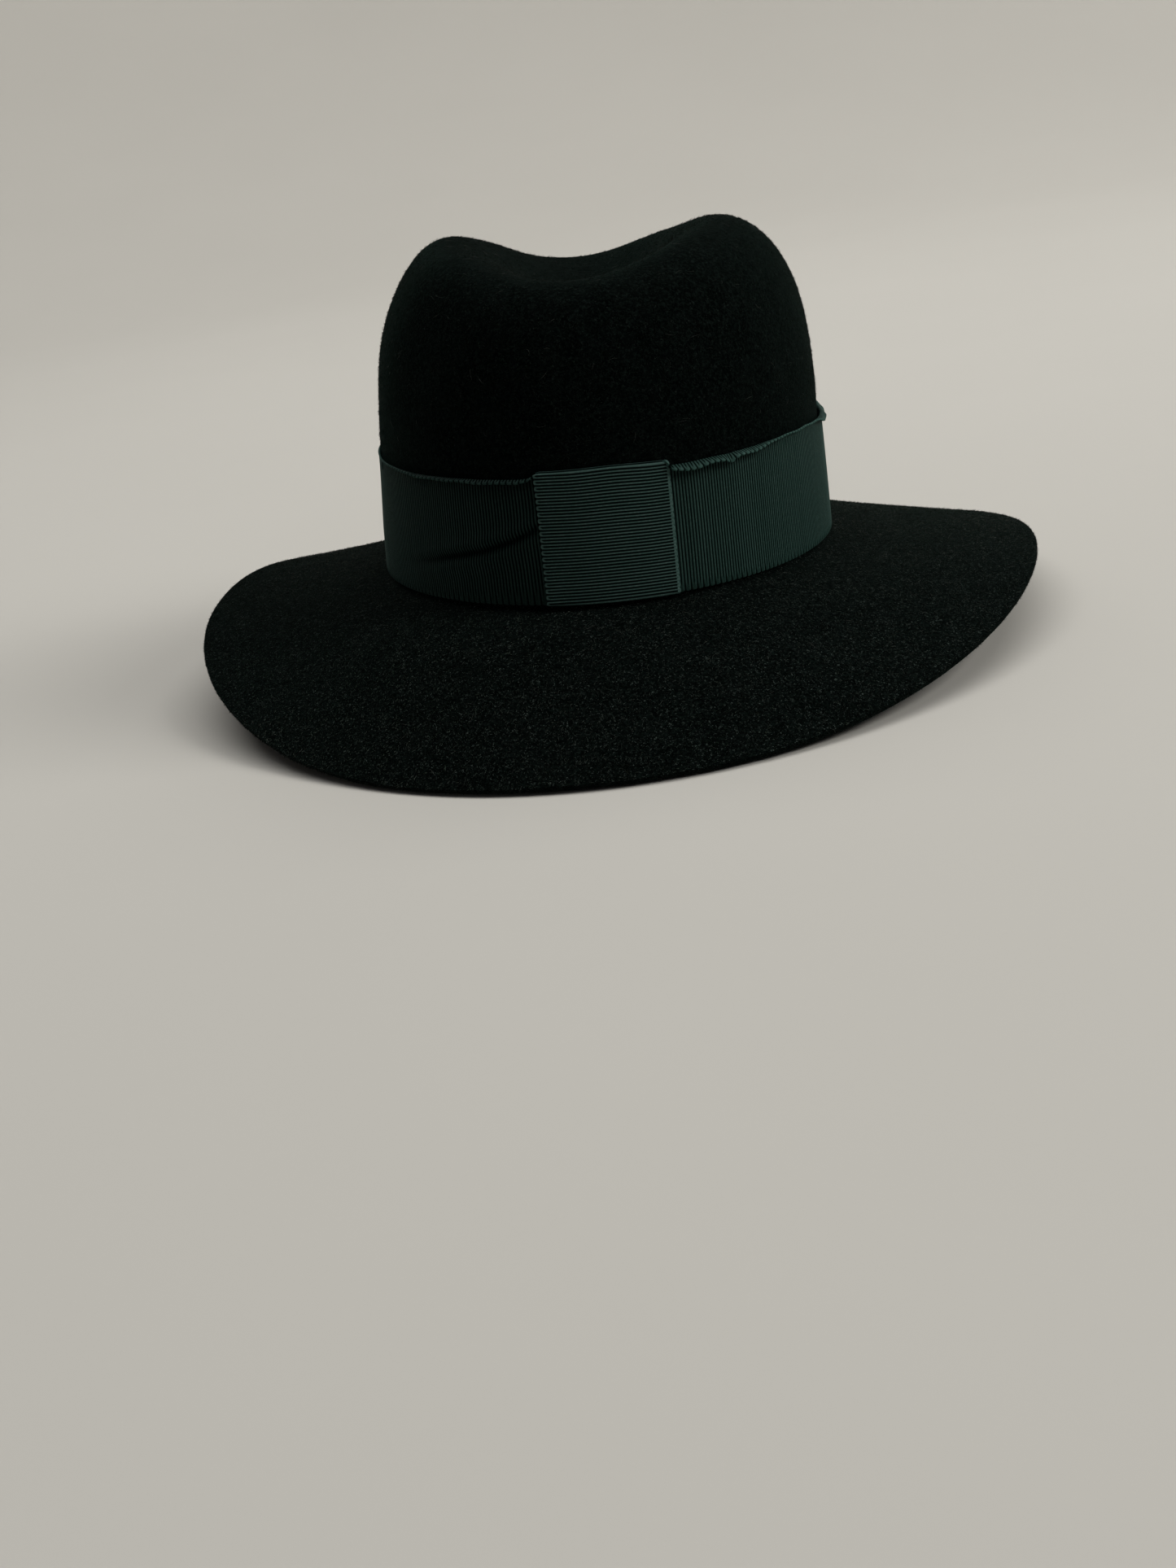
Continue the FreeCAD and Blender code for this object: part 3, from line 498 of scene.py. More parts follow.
def reed_material():
    m = Shader("hat_reed")
    cloud = m.noise(scale=300.0)
    fine = m.noise(scale=4000.0, detail=2.0)
    return m.finish({
        "Base Color": m.mix(cloud, first=(0.50, 0.47, 0.38), second=(0.66, 0.63, 0.54)),
        "Roughness": m.ramp(cloud, (0.3, 0.35), (0.7, 0.5)),
        "Normal": m.bump(fine, strength=0.12, distance=0.0001)})


# ------------------------------------------------------------------ felt
# Rounded brim edge: (distance below the top face, push outwards, share of unevenness)
EDGE_PROFILE = [
    (0.12, 0.06, 0.5), (0.45, 0.16, 1.0), (1.0, 0.20, 1.0), (1.55, 0.16, 1.0), (1.88, 0.06, 0.5),
]
EDGE_OUT = SKIN[0] - SKIN[1]
EDGE_OUT /= np.linalg.norm(EDGE_OUT, axis=-1, keepdims=True)
EDGE_UNEVEN = unevenness(SKIN[0], seed=21, size=9.0)[:, None] * 0.10
# rows from the underside up to the top face
EDGE = np.array([SKIN[0] - NORMAL[0] * drop + EDGE_OUT * (push + EDGE_UNEVEN * share)
                 for drop, push, share in reversed(EDGE_PROFILE)])


def build_felt():
    """The felt body. Its inner face has fewer rows than the outer one."""
    last = len(SKIN) - 1
    inner_rows = np.concatenate([
        np.arange(0, 4), np.arange(4, BRIM_ROWS - 3, 3), np.arange(BRIM_ROWS - 3, BRIM_ROWS + 8),
        np.arange(BRIM_ROWS + 8, last, 4), [last]])
    inner = sunk(WAVED, grid_normals(WAVED), FELT)[inner_rows]
    inner[-1][:, 2] = inner[-1][:, 2].mean()
    ob = shell_mesh("felt_skin", np.concatenate([inner[::-1], EDGE, SKIN]))
    # "nap" is how many pale flecks show: full on the brim; few on the crown, partly for its
    # smoother nap and partly as painted shade for a darker crown front; few on the cut edge,
    # as painted shade on its downward face
    nap = np.concatenate([
        np.full(len(inner), 0.55), np.full(len(EDGE), 0.25),
        np.clip(1.0 - 0.16 * (np.arange(len(SKIN)) - BRIM_ROWS), 0.22, 1.0)])
    point_attribute(ob, "nap", np.concatenate([np.repeat(nap, COLUMNS), [0.5, 0.25]]))
    place(ob, felt_material(), "felt", "felt_body")


fibre_draw = np.random.default_rng(31)


def surface_points(count, grid, normals):
    """Random points on a grid and their normals, spread evenly by area."""
    around = np.roll(grid, -1, 1)[:-1] - grid[:-1]
    area = np.linalg.norm(np.cross(around, grid[1:] - grid[:-1]), axis=-1)
    share = (area / area.sum()).ravel()
    i, j = np.unravel_index(fibre_draw.choice(len(share), size=count, p=share), area.shape)
    u, v = fibre_draw.random(count)[:, None], fibre_draw.random(count)[:, None]
    k = (j + 1) % grid.shape[1]
    points, directions = [
        (g[i, j] * (1 - u) + g[i, k] * u) * (1 - v)
        + (g[i + 1, j] * (1 - u) + g[i + 1, k] * u) * v for g in (grid, normals)]
    return points, directions / np.linalg.norm(directions, axis=-1, keepdims=True)


def slivers(name, points, normals, length, width, rise, brush):
    """Thin closed four-cornered fibres. Length, width and rise (radians off the surface)
    are ranges; brush is the direction they tend to lie in."""
    count = len(points)
    along = fibre_draw.normal(size=(count, 3)) + np.asarray(brush) * 1.2
    along = unit(along - (along * normals).sum(-1, keepdims=True) * normals)
    side = np.cross(normals, along)
    rise, length, width = [
        fibre_draw.uniform(*limits, size=(count, 1)) for limits in (rise, length, width)]
    tip = points + along * length * np.cos(rise) + normals * length * np.sin(rise)
    root_left = points + side * width - normals * 0.05
    root_right = points - side * width - normals * 0.05
    root_top = points + normals * width * 1.6 - along * width
    corners = np.stack([root_left, root_right, root_top, tip], 1)
    k = np.arange(count)[:, None] * 4
    faces = np.concatenate([k + [0, 1, 2], k + [1, 0, 3], k + [2, 1, 3], k + [0, 2, 3]])
    return mesh_object(name, to_scene(corners), faces.tolist(), smooth=False)


def hairs(name, points, normals, length, width, segments=6):
    """Curled stray fibres lying on the felt, as thin closed tubes of three sides."""
    corners, faces = [], []
    for start, normal in zip(points, normals):
        ahead = fibre_draw.normal(size=3)
        ahead -= ahead @ normal * normal
        ahead /= np.linalg.norm(ahead)
        side = np.cross(normal, ahead)
        step = fibre_draw.uniform(*length) / segments
        bend = fibre_draw.normal() * 1.1
        base = len(corners)
        at = start + normal * 0.12
        heading = 0.0
        for i in range(segments + 1):
            share = i / segments
            half = width * (1.0 - 0.55 * abs(2 * share - 1))
            forward = ahead * math.cos(heading) + side * math.sin(heading)
            across = np.cross(normal, forward)
            centre = at + normal * (0.25 * math.sin(math.pi * share))
            corners += [centre + across * half, centre - across * half,
                        centre + normal * half * 1.5]
            at = at + forward * step
            heading += bend / segments * (1.0 + 0.4 * fibre_draw.normal())
        for i in range(segments):
            a = base + i * 3
            for q in range(3):
                r = (q + 1) % 3
                faces.append([a + q, a + r, a + 3 + r, a + 3 + q])
        faces.append([base + 2, base + 1, base])
        end = base + segments * 3
        faces.append([end, end + 1, end + 2])
    return mesh_object(name, to_scene(np.array(corners)), faces)


def build_nap():
    """Short nap on brim, crown and brim edge, then longer lint. The draws keep this order."""
    brim = (SKIN[:BRIM_ROWS], NORMAL[:BRIM_ROWS])
    crown = (SKIN[BRIM_ROWS + 24:], NORMAL[BRIM_ROWS + 24:])
    ob = slivers("felt_nap_brim", *surface_points(36000, *brim), length=(0.5, 1.5),
                 width=(0.04, 0.08), rise=(0.10, 0.80), brush=(0.3, -0.5, -0.2))
    place(ob, fibre_material("hat_nap", dark=(0.0038, 0.0058, 0.0046),
                             light=(0.080, 0.094, 0.080), patchy=True), "felt")
    # the crown's nap is darker than the brim's, partly for its smoother nap and partly as
    # painted shade on the crown front
    ob = slivers("felt_nap_crown", *surface_points(30000, *crown), length=(0.5, 1.4),
                 width=(0.03, 0.06), rise=(0.08, 0.75), brush=(0.3, -0.5, -0.2))
    place(ob, fibre_material("hat_nap_crown", dark=(0.0014, 0.0028, 0.0021),
                             light=(0.026, 0.036, 0.029), patchy=True), "felt")
    edge = np.concatenate([EDGE, SKIN[:2]])
    edge_normals = np.repeat(EDGE_OUT[None], len(edge), 0)
    ob = slivers("felt_nap_edge", *surface_points(9000, edge, edge_normals),
                 length=(0.35, 0.9), width=(0.03, 0.06), rise=(0.10, 1.10),
                 brush=(0.0, 0.0, 0.4))
    # the edge fibres are darker than the brim's: painted shade on the cut edge, which faces down
    place(ob, fibre_material("hat_nap_edge", dark=(0.0020, 0.0030, 0.0025),
                             light=(0.020, 0.026, 0.022)), "felt")
    spots = [surface_points(260, *part) for part in (brim, crown)]
    points, normals = [np.concatenate(pair) for pair in zip(*spots)]
    ob = hairs("felt_lint", points, normals, length=(1.8, 4.5), width=0.035)
    place(ob, fibre_material("hat_lint", dark=(0.020, 0.023, 0.020),
                             light=(0.10, 0.105, 0.095)), "felt")


build_felt()
build_nap()

# ------------------------------------------------------------------ ribbon
# Places around the hat are "arc" mm from the front along the ribbon, rising to the right.
FINE_ANGLE = np.linspace(-math.pi / 2 - math.pi, -math.pi / 2 + math.pi, 20001)
FINE_STEPS = np.linalg.norm(np.diff(oval(FINE_ANGLE, 22.0, 1.6), axis=0), axis=-1)
FINE_ARC = np.concatenate([[0], np.cumsum(FINE_STEPS)])
FINE_ARC -= np.interp(-math.pi / 2, FINE_ANGLE, FINE_ARC)
ARC_START = FINE_ARC[0]
GIRTH = FINE_ARC[-1] - ARC_START
RIBS = int(round(GIRTH / RIB_PITCH))


def arc_at(angle):
    return float(np.interp(angle, FINE_ANGLE, FINE_ARC))


def angle_at(arc):
    arc = (np.asarray(arc, float) - ARC_START) % GIRTH + ARC_START
    return np.interp(arc, FINE_ARC, FINE_ANGLE)


TAB_ARC = arc_at(math.radians(-79.7))


def rib_shape(ribs):
    """0 in the groove between ribs, 1 along the top of a rib."""
    return 1 - np.abs(2 * (ribs - np.floor(ribs)) - 1) ** 1.9


def thread_loops(ribs):
    """Hairpin turns of the cross thread at a ribbon's edges, each over two ribs."""
    return np.abs(np.cos(math.pi * ribs / 2.0))


def bell(x, middle, half):
    return np.exp(-(((x - middle) / half) ** 2))


def between(x, points):
    """Straight lines through (x, value) points."""
    return np.interp(x, *np.transpose(points))


BAND_THICK = 0.42
BAND_OFFSET = 1.35  # from the felt to the middle of the ribbon
BAND_RIB = 0.20  # height of a rib on the outer face; half of it on the inner
BAND_LOOP = 0.55  # reach of the thread loops

# (arc, height) of the main fold left of the tab
FOLD_LINE = [(-75, 12.0), (-56, 14.5), (-46, 16.8), (-29, 20.0), (-16.5, 23.6), (-8.8, 27.0),
             (-4, 30.0)]
# the rows of the band follow this line
ROW_LINE = [(-95, 14.0), *FOLD_LINE, (25, 18.0), (60, 14.0)]
# Folds: (arc, height) line, (arc, strength), and bells (push out, mm above line, half width)
FOLDS = [
    (FOLD_LINE,
     [(-74, 0), (-58, 0.45), (-44, 0.9), (-30, 1.0), (-14, 1.0), (-7, 0.8), (-3, 0.0)],
     [(-0.70, -0.6, 1.4), (0.90, 2.4, 2.3), (0.65, -4.4, 2.6)]),
    ([(-40, 31.5), (-24, 34.0), (-9, 37.5)],
     [(-42, 0), (-30, 0.5), (-16, 0.8), (-7, 0.6), (-4, 0)],
     [(-0.35, 0, 1.5), (0.30, 3.2, 2.4)]),
    ([(-50, 7.0), (-30, 9.0), (-9, 12.5)],
     [(-52, 0), (-36, 0.5), (-14, 0.6), (-6, 0.3), (-3, 0)],
     [(-0.30, 0, 1.6), (0.22, -3.0, 2.2)]),
]
# (arc, share) of the slack left of the tab
SLACK = [(-95, 0), (-60, 0.7), (-30, 1.0), (-8, 0.6), (-2, 0.0)]
# (arc, degrees) the upper edge turns outwards
CURL_TURN = [
    (-280, 70), (-240, 36), (-215, 10), (-180, 6), (-105, 12), (-80, 60), (-60, 95), (-40, 112),
    (-12, 118), (-8.5, 110), (-6.5, 50), (36, 60), (37.8, 108), (48, 122), (60, 118), (78, 104),
    (92, 70), (110, 48), (128, 80), (141, 150), (152, 165), (168, 120), (190, 60), (230, 50),
    (285, 70),
]
# (arc, mm) of ribbon that turns
CURL_LENGTH = [
    (-280, 1.6), (-215, 1.0), (-180, 0.9), (-105, 0.9), (-80, 1.3), (-60, 1.6), (-12, 1.8),
    (-7, 1.4), (36, 2.6), (39, 3.8), (50, 4.1), (64, 3.4), (80, 2.2), (95, 1.3), (118, 1.4),
    (134, 2.2), (146, 3.0), (168, 2.4), (195, 1.6), (285, 1.6),
]
# (arc, height) where the turned edge starts on the right, and how far that holds
CURL_START = [(30, 42.0), (38, 42.3), (50, 42.5), (64, 42.9), (80, 43.5), (92, 43.8),
              (141, 43.3), (165, 43.0), (200, 42.8)]
CURL_START_SHARE = [(20, 0.0), (34, 1.0), (200, 1.0), (225, 0.0)]
CURL_SHARES = (0.08, 0.16, 0.24, 0.33, 0.42, 0.60, 0.80, 1.0)  # rows over the turned edge
CURL_BEND = 0.42  # share of the turned length over which it bends
# (arc, share) where the back left of the band hugs the crown
HUG = [(-250, 0), (-215, 1), (-115, 1), (-92, 0)]
# (arc, share) by which the ribs lean sideways
LEAN = [(-80, 0), (-40, 0.65), (-8, 1.0), (0, 1.0), (16, 0.0)]
# (arc, share) of painted shade in the main fold
FOLD_PAINTED_SHADE = [(-70, 0), (-56, 0.5), (-44, 1.0), (-14, 1.0), (-6, 0.6), (-3, 0.0)]
# (arc, brightness) of painted light and shade around the band, darker left of the tab
# and lighter to the right; and (arc, share) of painted shadow below the turned edge
BAND_PAINTED_LIGHT = [(-130, 1.05), (-95, 0.82), (-60, 0.52), (-8, 0.44), (30, 0.9), (60, 1.0),
             (110, 1.1), (170, 1.1), (230, 1.0)]
CURL_PAINTED_SHADOW = [(-70, 0), (-45, 0.5), (-8, 0.6), (-4, 0), (37, 0), (40, 1.0), (60, 1.0),
              (82, 0.35), (95, 0.0)]


def wrinkles(arc, z):
    """Push outwards, in mm, of the slack parts of the band beside the tab."""
    push = 0
    for line, strength, bells in FOLDS:
        above = z - between(arc, line)
        fold = sum(size * bell(above, middle, half) for size, middle, half in bells)
        push = push + between(arc, strength) * fold
    belly = np.sin(np.clip(z / 43.0, 0, 1) * math.pi)
    return push + 0.55 * between(arc, SLACK) * belly + 0.30 * bell(arc, 45.0, 7.0) * belly


def band_heights(line, top):
    """Rows of the flat part: below, around and above the row line."""
    rows = [BAND_LOW + (line - 5.4 - BAND_LOW) * share for share in (0.0, 0.33, 0.67)]
    rows += [line + d for d in (-4.4, -3.0, -1.9, -1.2, -0.6, 0.0, 0.6, 1.3, 2.2, 3.3, 4.8)]
    rows += [line + 6.4 + (top - line - 6.4) * share for share in (0.0, 0.3, 0.58, 0.82, 1.0)]
    return np.array(rows)


def band_middle(arc, heights, curl_length):
    """Rows of offset, height, turn and length up the middle of the ribbon's thickness."""
    under_tab = between(np.abs(arc - TAB_ARC), [(19.5, 1.0), (22.4, 0.0)])
    hug = 0.62 * between(arc, HUG) * np.clip((heights - 16.0) / 22.0, 0, 1)
    uneven = wrinkles(arc, heights) + 0.12 * np.sin(arc / 23.0 + heights / 15.0)
    offsets = BAND_OFFSET - hug + uneven * (1 - under_tab)

    curl = np.radians(between(arc, CURL_TURN))
    curl = curl * (1 + 0.06 * np.sin(arc / 5.1) + 0.05 * np.sin(arc / 2.3 + 1))
    curl = curl * (1 + 0.25 * bell(arc, 61.0, 1.8)) * (1 - 0.9 * under_tab)
    rows = [(offset, z, 0 * z, z - BAND_LOW) for offset, z in zip(offsets, heights)]
    offset, z, last_turn, length = rows[-1]
    flat_length, last_share = length, 0.0
    for share in CURL_SHARES:
        turn = curl * min(1.0, share / CURL_BEND)
        middle = (turn + last_turn) / 2
        offset = offset + curl_length * (share - last_share) * np.sin(middle)
        z = z + curl_length * (share - last_share) * np.cos(middle)
        rows.append((offset, z, turn, flat_length + curl_length * share))
        last_share, last_turn = share, turn
    return np.array(rows).transpose(1, 0, 2)


def build_band():
    count = RIBS * 5
    arc = ARC_START + GIRTH * (np.arange(count) + 0.5) / count
    ribs = (arc - ARC_START) / (GIRTH / RIBS)
    rib, loops = rib_shape(ribs), thread_loops(ribs)
    row_line = between(arc, ROW_LINE)
    curl_length = between(arc, CURL_LENGTH)
    right = between(arc, CURL_START_SHARE)
    curl_start = ((BAND_LOW + BAND_HEIGHT - curl_length) * (1 - right)
                  + between(arc, CURL_START) * right)
    heights = band_heights(row_line, curl_start)
    offset, height, turn, length = band_middle(arc, heights, curl_length)

    # the two faces, with thread loops along their lower and upper edges
    tip_out, tip_up = np.sin(turn[-1]), np.cos(turn[-1])
    faces = []
    for side, rib_height in ((1, BAND_RIB), (-1, BAND_RIB * 0.5)):
        half = side * (BAND_THICK / 2 + rib_height * rib)
        face_offset = offset + half * np.cos(turn)
        face_height = height - half * np.sin(turn)
        face_height[0] -= BAND_LOOP * loops
        # the upper loops reach outwards with the sine of the turn and rise with its cosine
        face_offset[-1] += BAND_LOOP * loops * TIP_REACH(tip_out, tip_up)
        face_height[-1] += BAND_LOOP * loops * tip_up
        faces.append((face_offset, face_height))
    (outer_offset, outer_height), (inner_offset, inner_height) = faces
    low_offset = (outer_offset[0] + inner_offset[0]) / 2
    low_height = (outer_height[0] + inner_height[0]) / 2 - 0.12
    top_offset = (outer_offset[-1] + inner_offset[-1]) / 2 + 0.12 * tip_out
    top_height = (outer_height[-1] + inner_height[-1]) / 2 + 0.12 * tip_up
    # the inner face keeps only some rows, from the top down
    inner_rows = np.array([-1, -3, -5, -7, 18, 12, 9, 7, 3, 0])
    all_offset = np.vstack([low_offset, outer_offset, top_offset, inner_offset[inner_rows]])
    all_height = np.vstack([low_height, outer_height, top_height, inner_height[inner_rows]])
    all_length = np.vstack([0 * arc, length, length[-1], length[inner_rows]])
    all_offset = np.maximum(all_offset, 0.35)  # stay out of the felt
    slant = 1.6 * between(arc, LEAN) * (all_height - BAND_LOW - 6.0) / BAND_HEIGHT
    rows = oval(angle_at(arc - slant), all_height, all_offset)
    # open the ring behind the tab
    order = np.roll(np.arange(count), -np.abs(arc - TAB_ARC).argmin())[3:-3]
    ob = capped_mesh("band_grosgrain", rows[:, order])

    def on_points(grid, at_caps):
        return np.append(grid[:, order].reshape(-1), [at_caps, at_caps])

    row = np.arange(len(rows))[:, None]
    first_curl = 1 + len(heights)
    last_outer = len(outer_offset)
    # painted shade in the crease of the main fold: the rib profile is lowered there, which
    # darkens it as the grooves are darkened
    fold_painted_shade = between(arc, FOLD_PAINTED_SHADE) * bell(all_height - row_line, -0.7, 1.3)
    profile = rib * (1 - 0.40 * fold_painted_shade)
    profile[[0, 1, last_outer, last_outer + 1, last_outer + 2]] = np.maximum(rib, loops ** 0.6)
    across = np.broadcast_to(arc - ARC_START, profile.shape)
    strip = [on_points(grid, 0.0) for grid in (across, all_length, profile)]
    point_attribute(ob, "strip", np.stack(strip, -1))
    # painted shadow of the turned edge: a strip of the band just below it is darkened
    below_curl = bell(all_height - (curl_start - 1.2), 0.0, 1.6) * (row < first_curl)
    shade = 1.0 - 0.9 * between(arc, CURL_PAINTED_SHADOW) * below_curl
    # painted light: the turned edge, whose top faces up into the light, is made lighter
    curl_painted_light = np.where((row >= first_curl) & (row < last_outer + 3), 1.35, 1.0)
    # the band's painted light and shade: brightness around it, painted shadow below the turned
    # edge, lighter turned edge
    point_attribute(ob, "painted_light", on_points(between(arc, BAND_PAINTED_LIGHT) * shade * curl_painted_light, 1.0))
    place(ob, grosgrain_material("hat_band", brightness=0.98, tint=(1.0, 1.0, 1.0),
                                 groove_shade_from=0.50, groove_shade_to=0.85), "ribbon", "ribbon_band")


def TIP_REACH(tip_out, tip_up):
    return tip_out


build_band()

# ------------------------------------------------------------------ tab over the band's ends
TAB_WIDTH, TAB_THICK, TAB_RIB_PITCH = 44.0, 0.42, 1.04
TAB_FACE, TAB_BACK = 2.32, 0.86  # offsets from the felt of the face and the folded-under ends
TAB_LOW, TAB_HIGH = BAND_LOW - 0.15, BAND_LOW + BAND_HEIGHT + 0.15
TAB_UNDER = 8.0  # length folded under at each end
# stations across the tab, -1 at the left edge and 1 at the right
TAB_STATIONS = np.concatenate([
    [-1.0, -0.985, -0.96], np.linspace(-0.92, 0.92, 21), [0.945, 0.955, 0.97, 0.985, 1.0]])


def tab_path():
    """Offset, height and 1 on the face or 0 elsewhere, from the lower end to the upper."""
    radius = (TAB_FACE - TAB_BACK) / 2
    middle = TAB_BACK + radius
    under = np.linspace(0, TAB_UNDER, 14)
    fold = [(radius * math.cos(a), radius * 0.8 * math.sin(a))
            for a in np.linspace(0, math.pi, 10)[1:-1]]
    path = [(TAB_BACK, TAB_LOW + z, 0) for z in under[::-1]]
    path += [(middle - out, TAB_LOW - z, 0) for out, z in fold]
    path += [(TAB_FACE, TAB_LOW + (TAB_HIGH - TAB_LOW) * z, 1) for z in np.linspace(0, 1, 290)]
    path += [(middle + out, TAB_HIGH + z, 0) for out, z in fold]
    path += [(TAB_BACK, TAB_HIGH - z, 0) for z in under]
    return np.array(path, float).T


def build_tab():
    offset, height, on_face = tab_path()
    length = np.concatenate([[0], np.cumsum(np.hypot(np.diff(offset), np.diff(height)))])
    tangent = unit(np.stack([np.gradient(offset), np.gradient(height)], -1))
    out, up = tangent[:, 1], -tangent[:, 0]
    ribs = length / TAB_RIB_PITCH
    rib, loops = rib_shape(ribs) ** 1.7, thread_loops(ribs)
    rise = np.clip((height - TAB_LOW) / (TAB_HIGH - TAB_LOW), 0, 1)
    rows, strips = [], []
    for face in (1, -1):
        for u in TAB_STATIONS[::face]:
            at_edge = abs(u) > 0.98
            reach = at_edge * (0.55 if u < 0 else 0.3) * loops
            from_middle = u * TAB_WIDTH / 2 + np.sign(u) * reach
            if u < 0:  # the left edge flares towards the top
                from_middle = from_middle * (1.0 + 0.05 * (rise - 0.5) * on_face)
            arc = TAB_ARC + from_middle
            half = TAB_THICK / 2 + (0.16 if face > 0 else 0.05) * rib
            half = face * half * (0.55 if at_edge else 1.0)
            lift_left = 0.65 * bell(u, -1, 0.16) * (0.8 + 0.35 * np.sin(length / 9.0 + 1.0))
            lift_right = 0.18 * bell(u, 1, 0.10)
            belly = 0.30 * np.sin(rise * math.pi) * (1 - u * u) ** 0.6
            row_offset = offset + on_face * (lift_left + lift_right + belly) + half * out
            sway = (0.10 * np.sin(u * 2.1 + length / 14.0)
                    + 0.10 * rise * np.sin(u * 5.3 + 0.8))
            arch = 0.45 * rise ** 3 * bell(u, 0.15, 0.55)
            row_height = height + half * up + on_face * sway + arch
            profile = rib if face > 0 else np.full(len(rib), 0.6)
            if u > 0.96:
                profile = np.maximum(profile, 0.95)
            if at_edge:
                profile = np.maximum(profile, loops ** 0.6)
            rows.append(oval(angle_at(arc), row_height, np.maximum(row_offset, 0.45)))
            strips.append(np.stack([ribs * RIB_PITCH, arc, profile], -1))
    ob = capped_mesh("tab_grosgrain", np.array(rows), flip=True)
    strip = np.vstack([np.array(strips).reshape(-1, 3), np.zeros((2, 3))])
    point_attribute(ob, "strip", strip)
    point_attribute(ob, "painted_light", np.ones(len(strip)))
    # the tab's brightness, about twice the band's, is painted sheen standing in for the grazing
    # reflection off its ribs
    place(ob, grosgrain_material("hat_tab", brightness=2.05, tint=(1.08, 0.86, 0.90),
                                 groove_shade_from=0.56, groove_shade_to=0.88), "ribbon", "ribbon_tab")


build_tab()

# ------------------------------------------------------------------ sweatband and reed tape
# Sections as (offset from the head opening's oval, height)
SWEATBAND_SECTION = [
    (-3.12, 1.05), (-3.10, 4.0), (-3.10, 12.0), (-3.12, 22.0), (-3.16, 31.0), (-3.25, 35.2),
    (-3.42, 35.95), (-3.68, 35.9), (-3.86, 35.0), (-3.96, 31.0), (-4.0, 22.0), (-4.0, 12.0),
    (-4.0, 5.0), (-3.92, 2.2), (-3.7, 1.1), (-3.4, 0.95),
]
TAPE_SECTION = [
    (-2.27, -0.85), (-2.25, 1.5), (-2.25, 4.5), (-2.27, 6.95), (-2.45, 7.1), (-2.62, 6.95),
    (-2.64, 4.5), (-2.64, 1.5), (-2.62, -0.85), (-2.45, -0.98),
]


def build_sweatband():
    """A leather strip whose ends nearly meet at the back."""
    count, half_gap = 720, 0.0016
    share = np.arange(count) / (count - 1)
    angle = math.pi / 2 + half_gap + (2 * math.pi - 2 * half_gap) * share
    ripple = 0.10 * np.sin(angle * 23.0) + 0.12 * np.sin(angle * 11.0 + 0.7) - 0.16
    rise = 0.25 * np.sin(angle * 7.0 + 1.2)
    rows = []
    for offset, z in SWEATBAND_SECTION:
        ease = np.clip(z / 36.0, 0, 1) ** 2
        rows.append(oval(angle, z + rise * ease, offset + ripple * ease))
    ob = capped_mesh("sweatband_leather", np.array(rows))
    place(ob, leather_material(), "leather", "sweatband")


def build_tape():
    """Woven strip with a scalloped upper edge."""
    angle = np.linspace(0, 2 * math.pi, 1440, endpoint=False)
    scallop = 0.18 * np.abs(np.sin(angle * 180))
    rows = [oval(angle, z + (scallop if z > 6 else 0.0), offset) for offset, z in TAPE_SECTION]
    ob = ring_mesh("reed_tape_weave", np.array(rows))
    place(ob, woven_material("hat_tape", dark=(0.035, 0.033, 0.030),
                             light=(0.075, 0.070, 0.062), scale=2400.0), "tape", "reed_tape")


build_sweatband()
build_tape()


# ------------------------------------------------------------------ lining
def build_side_lining(satin):
    """Pleated satin inside the wall, its pleats deepening upwards."""
    angle = np.linspace(0, 2 * math.pi, 960, endpoint=False)
    stations = np.array([BREAK, 5.0])
    grid = outer_grid(angle, stations)
    first = len(stations) + len(BREAK_SHARES) + int(np.argmax(WALLS >= 12.0))
    span = slice(first, len(stations) + SEAM_ROW)
    grid, normals = grid[span], grid_normals(grid)[span]
    pleat = 0.5 + 0.5 * np.cos(angle * 96)
    depth = 2.62 + 0.95 * pleat ** 2 * np.linspace(0.15, 1.0, len(grid))[:, None]
    outer = sunk(grid, normals, depth)
    inner = sunk(grid, normals, depth + 0.28)[::-1]
    upper_edge = (outer[-1:] + inner[:1]) / 2
    lower_edge = (outer[:1] + inner[-1:]) / 2
    ob = ring_mesh("lining_pleats", np.concatenate([outer, upper_edge, inner, lower_edge]))
    place(ob, satin, "lining", "lining_side")


def build_crown_lining(satin):
    """Satin under the top of the crown."""
    first = BRIM_ROWS + SEAM_ROW + 2
    grid, normals = IDEAL[first:], IDEAL_NORMAL[first:]
    soft = 0.35 * (0.5 + 0.5 * unevenness(grid, seed=77, size=24.0))
    outer, inner = [
        sunk(grid, normals, depth + np.clip(soft, 0, 0.5)) for depth in (2.66, 2.94)]
    rows = np.concatenate([inner[::-1], (outer[:1] + inner[:1]) / 2, outer])
    place(shell_mesh("lining_crown", rows), satin, "lining", "lining_tip")


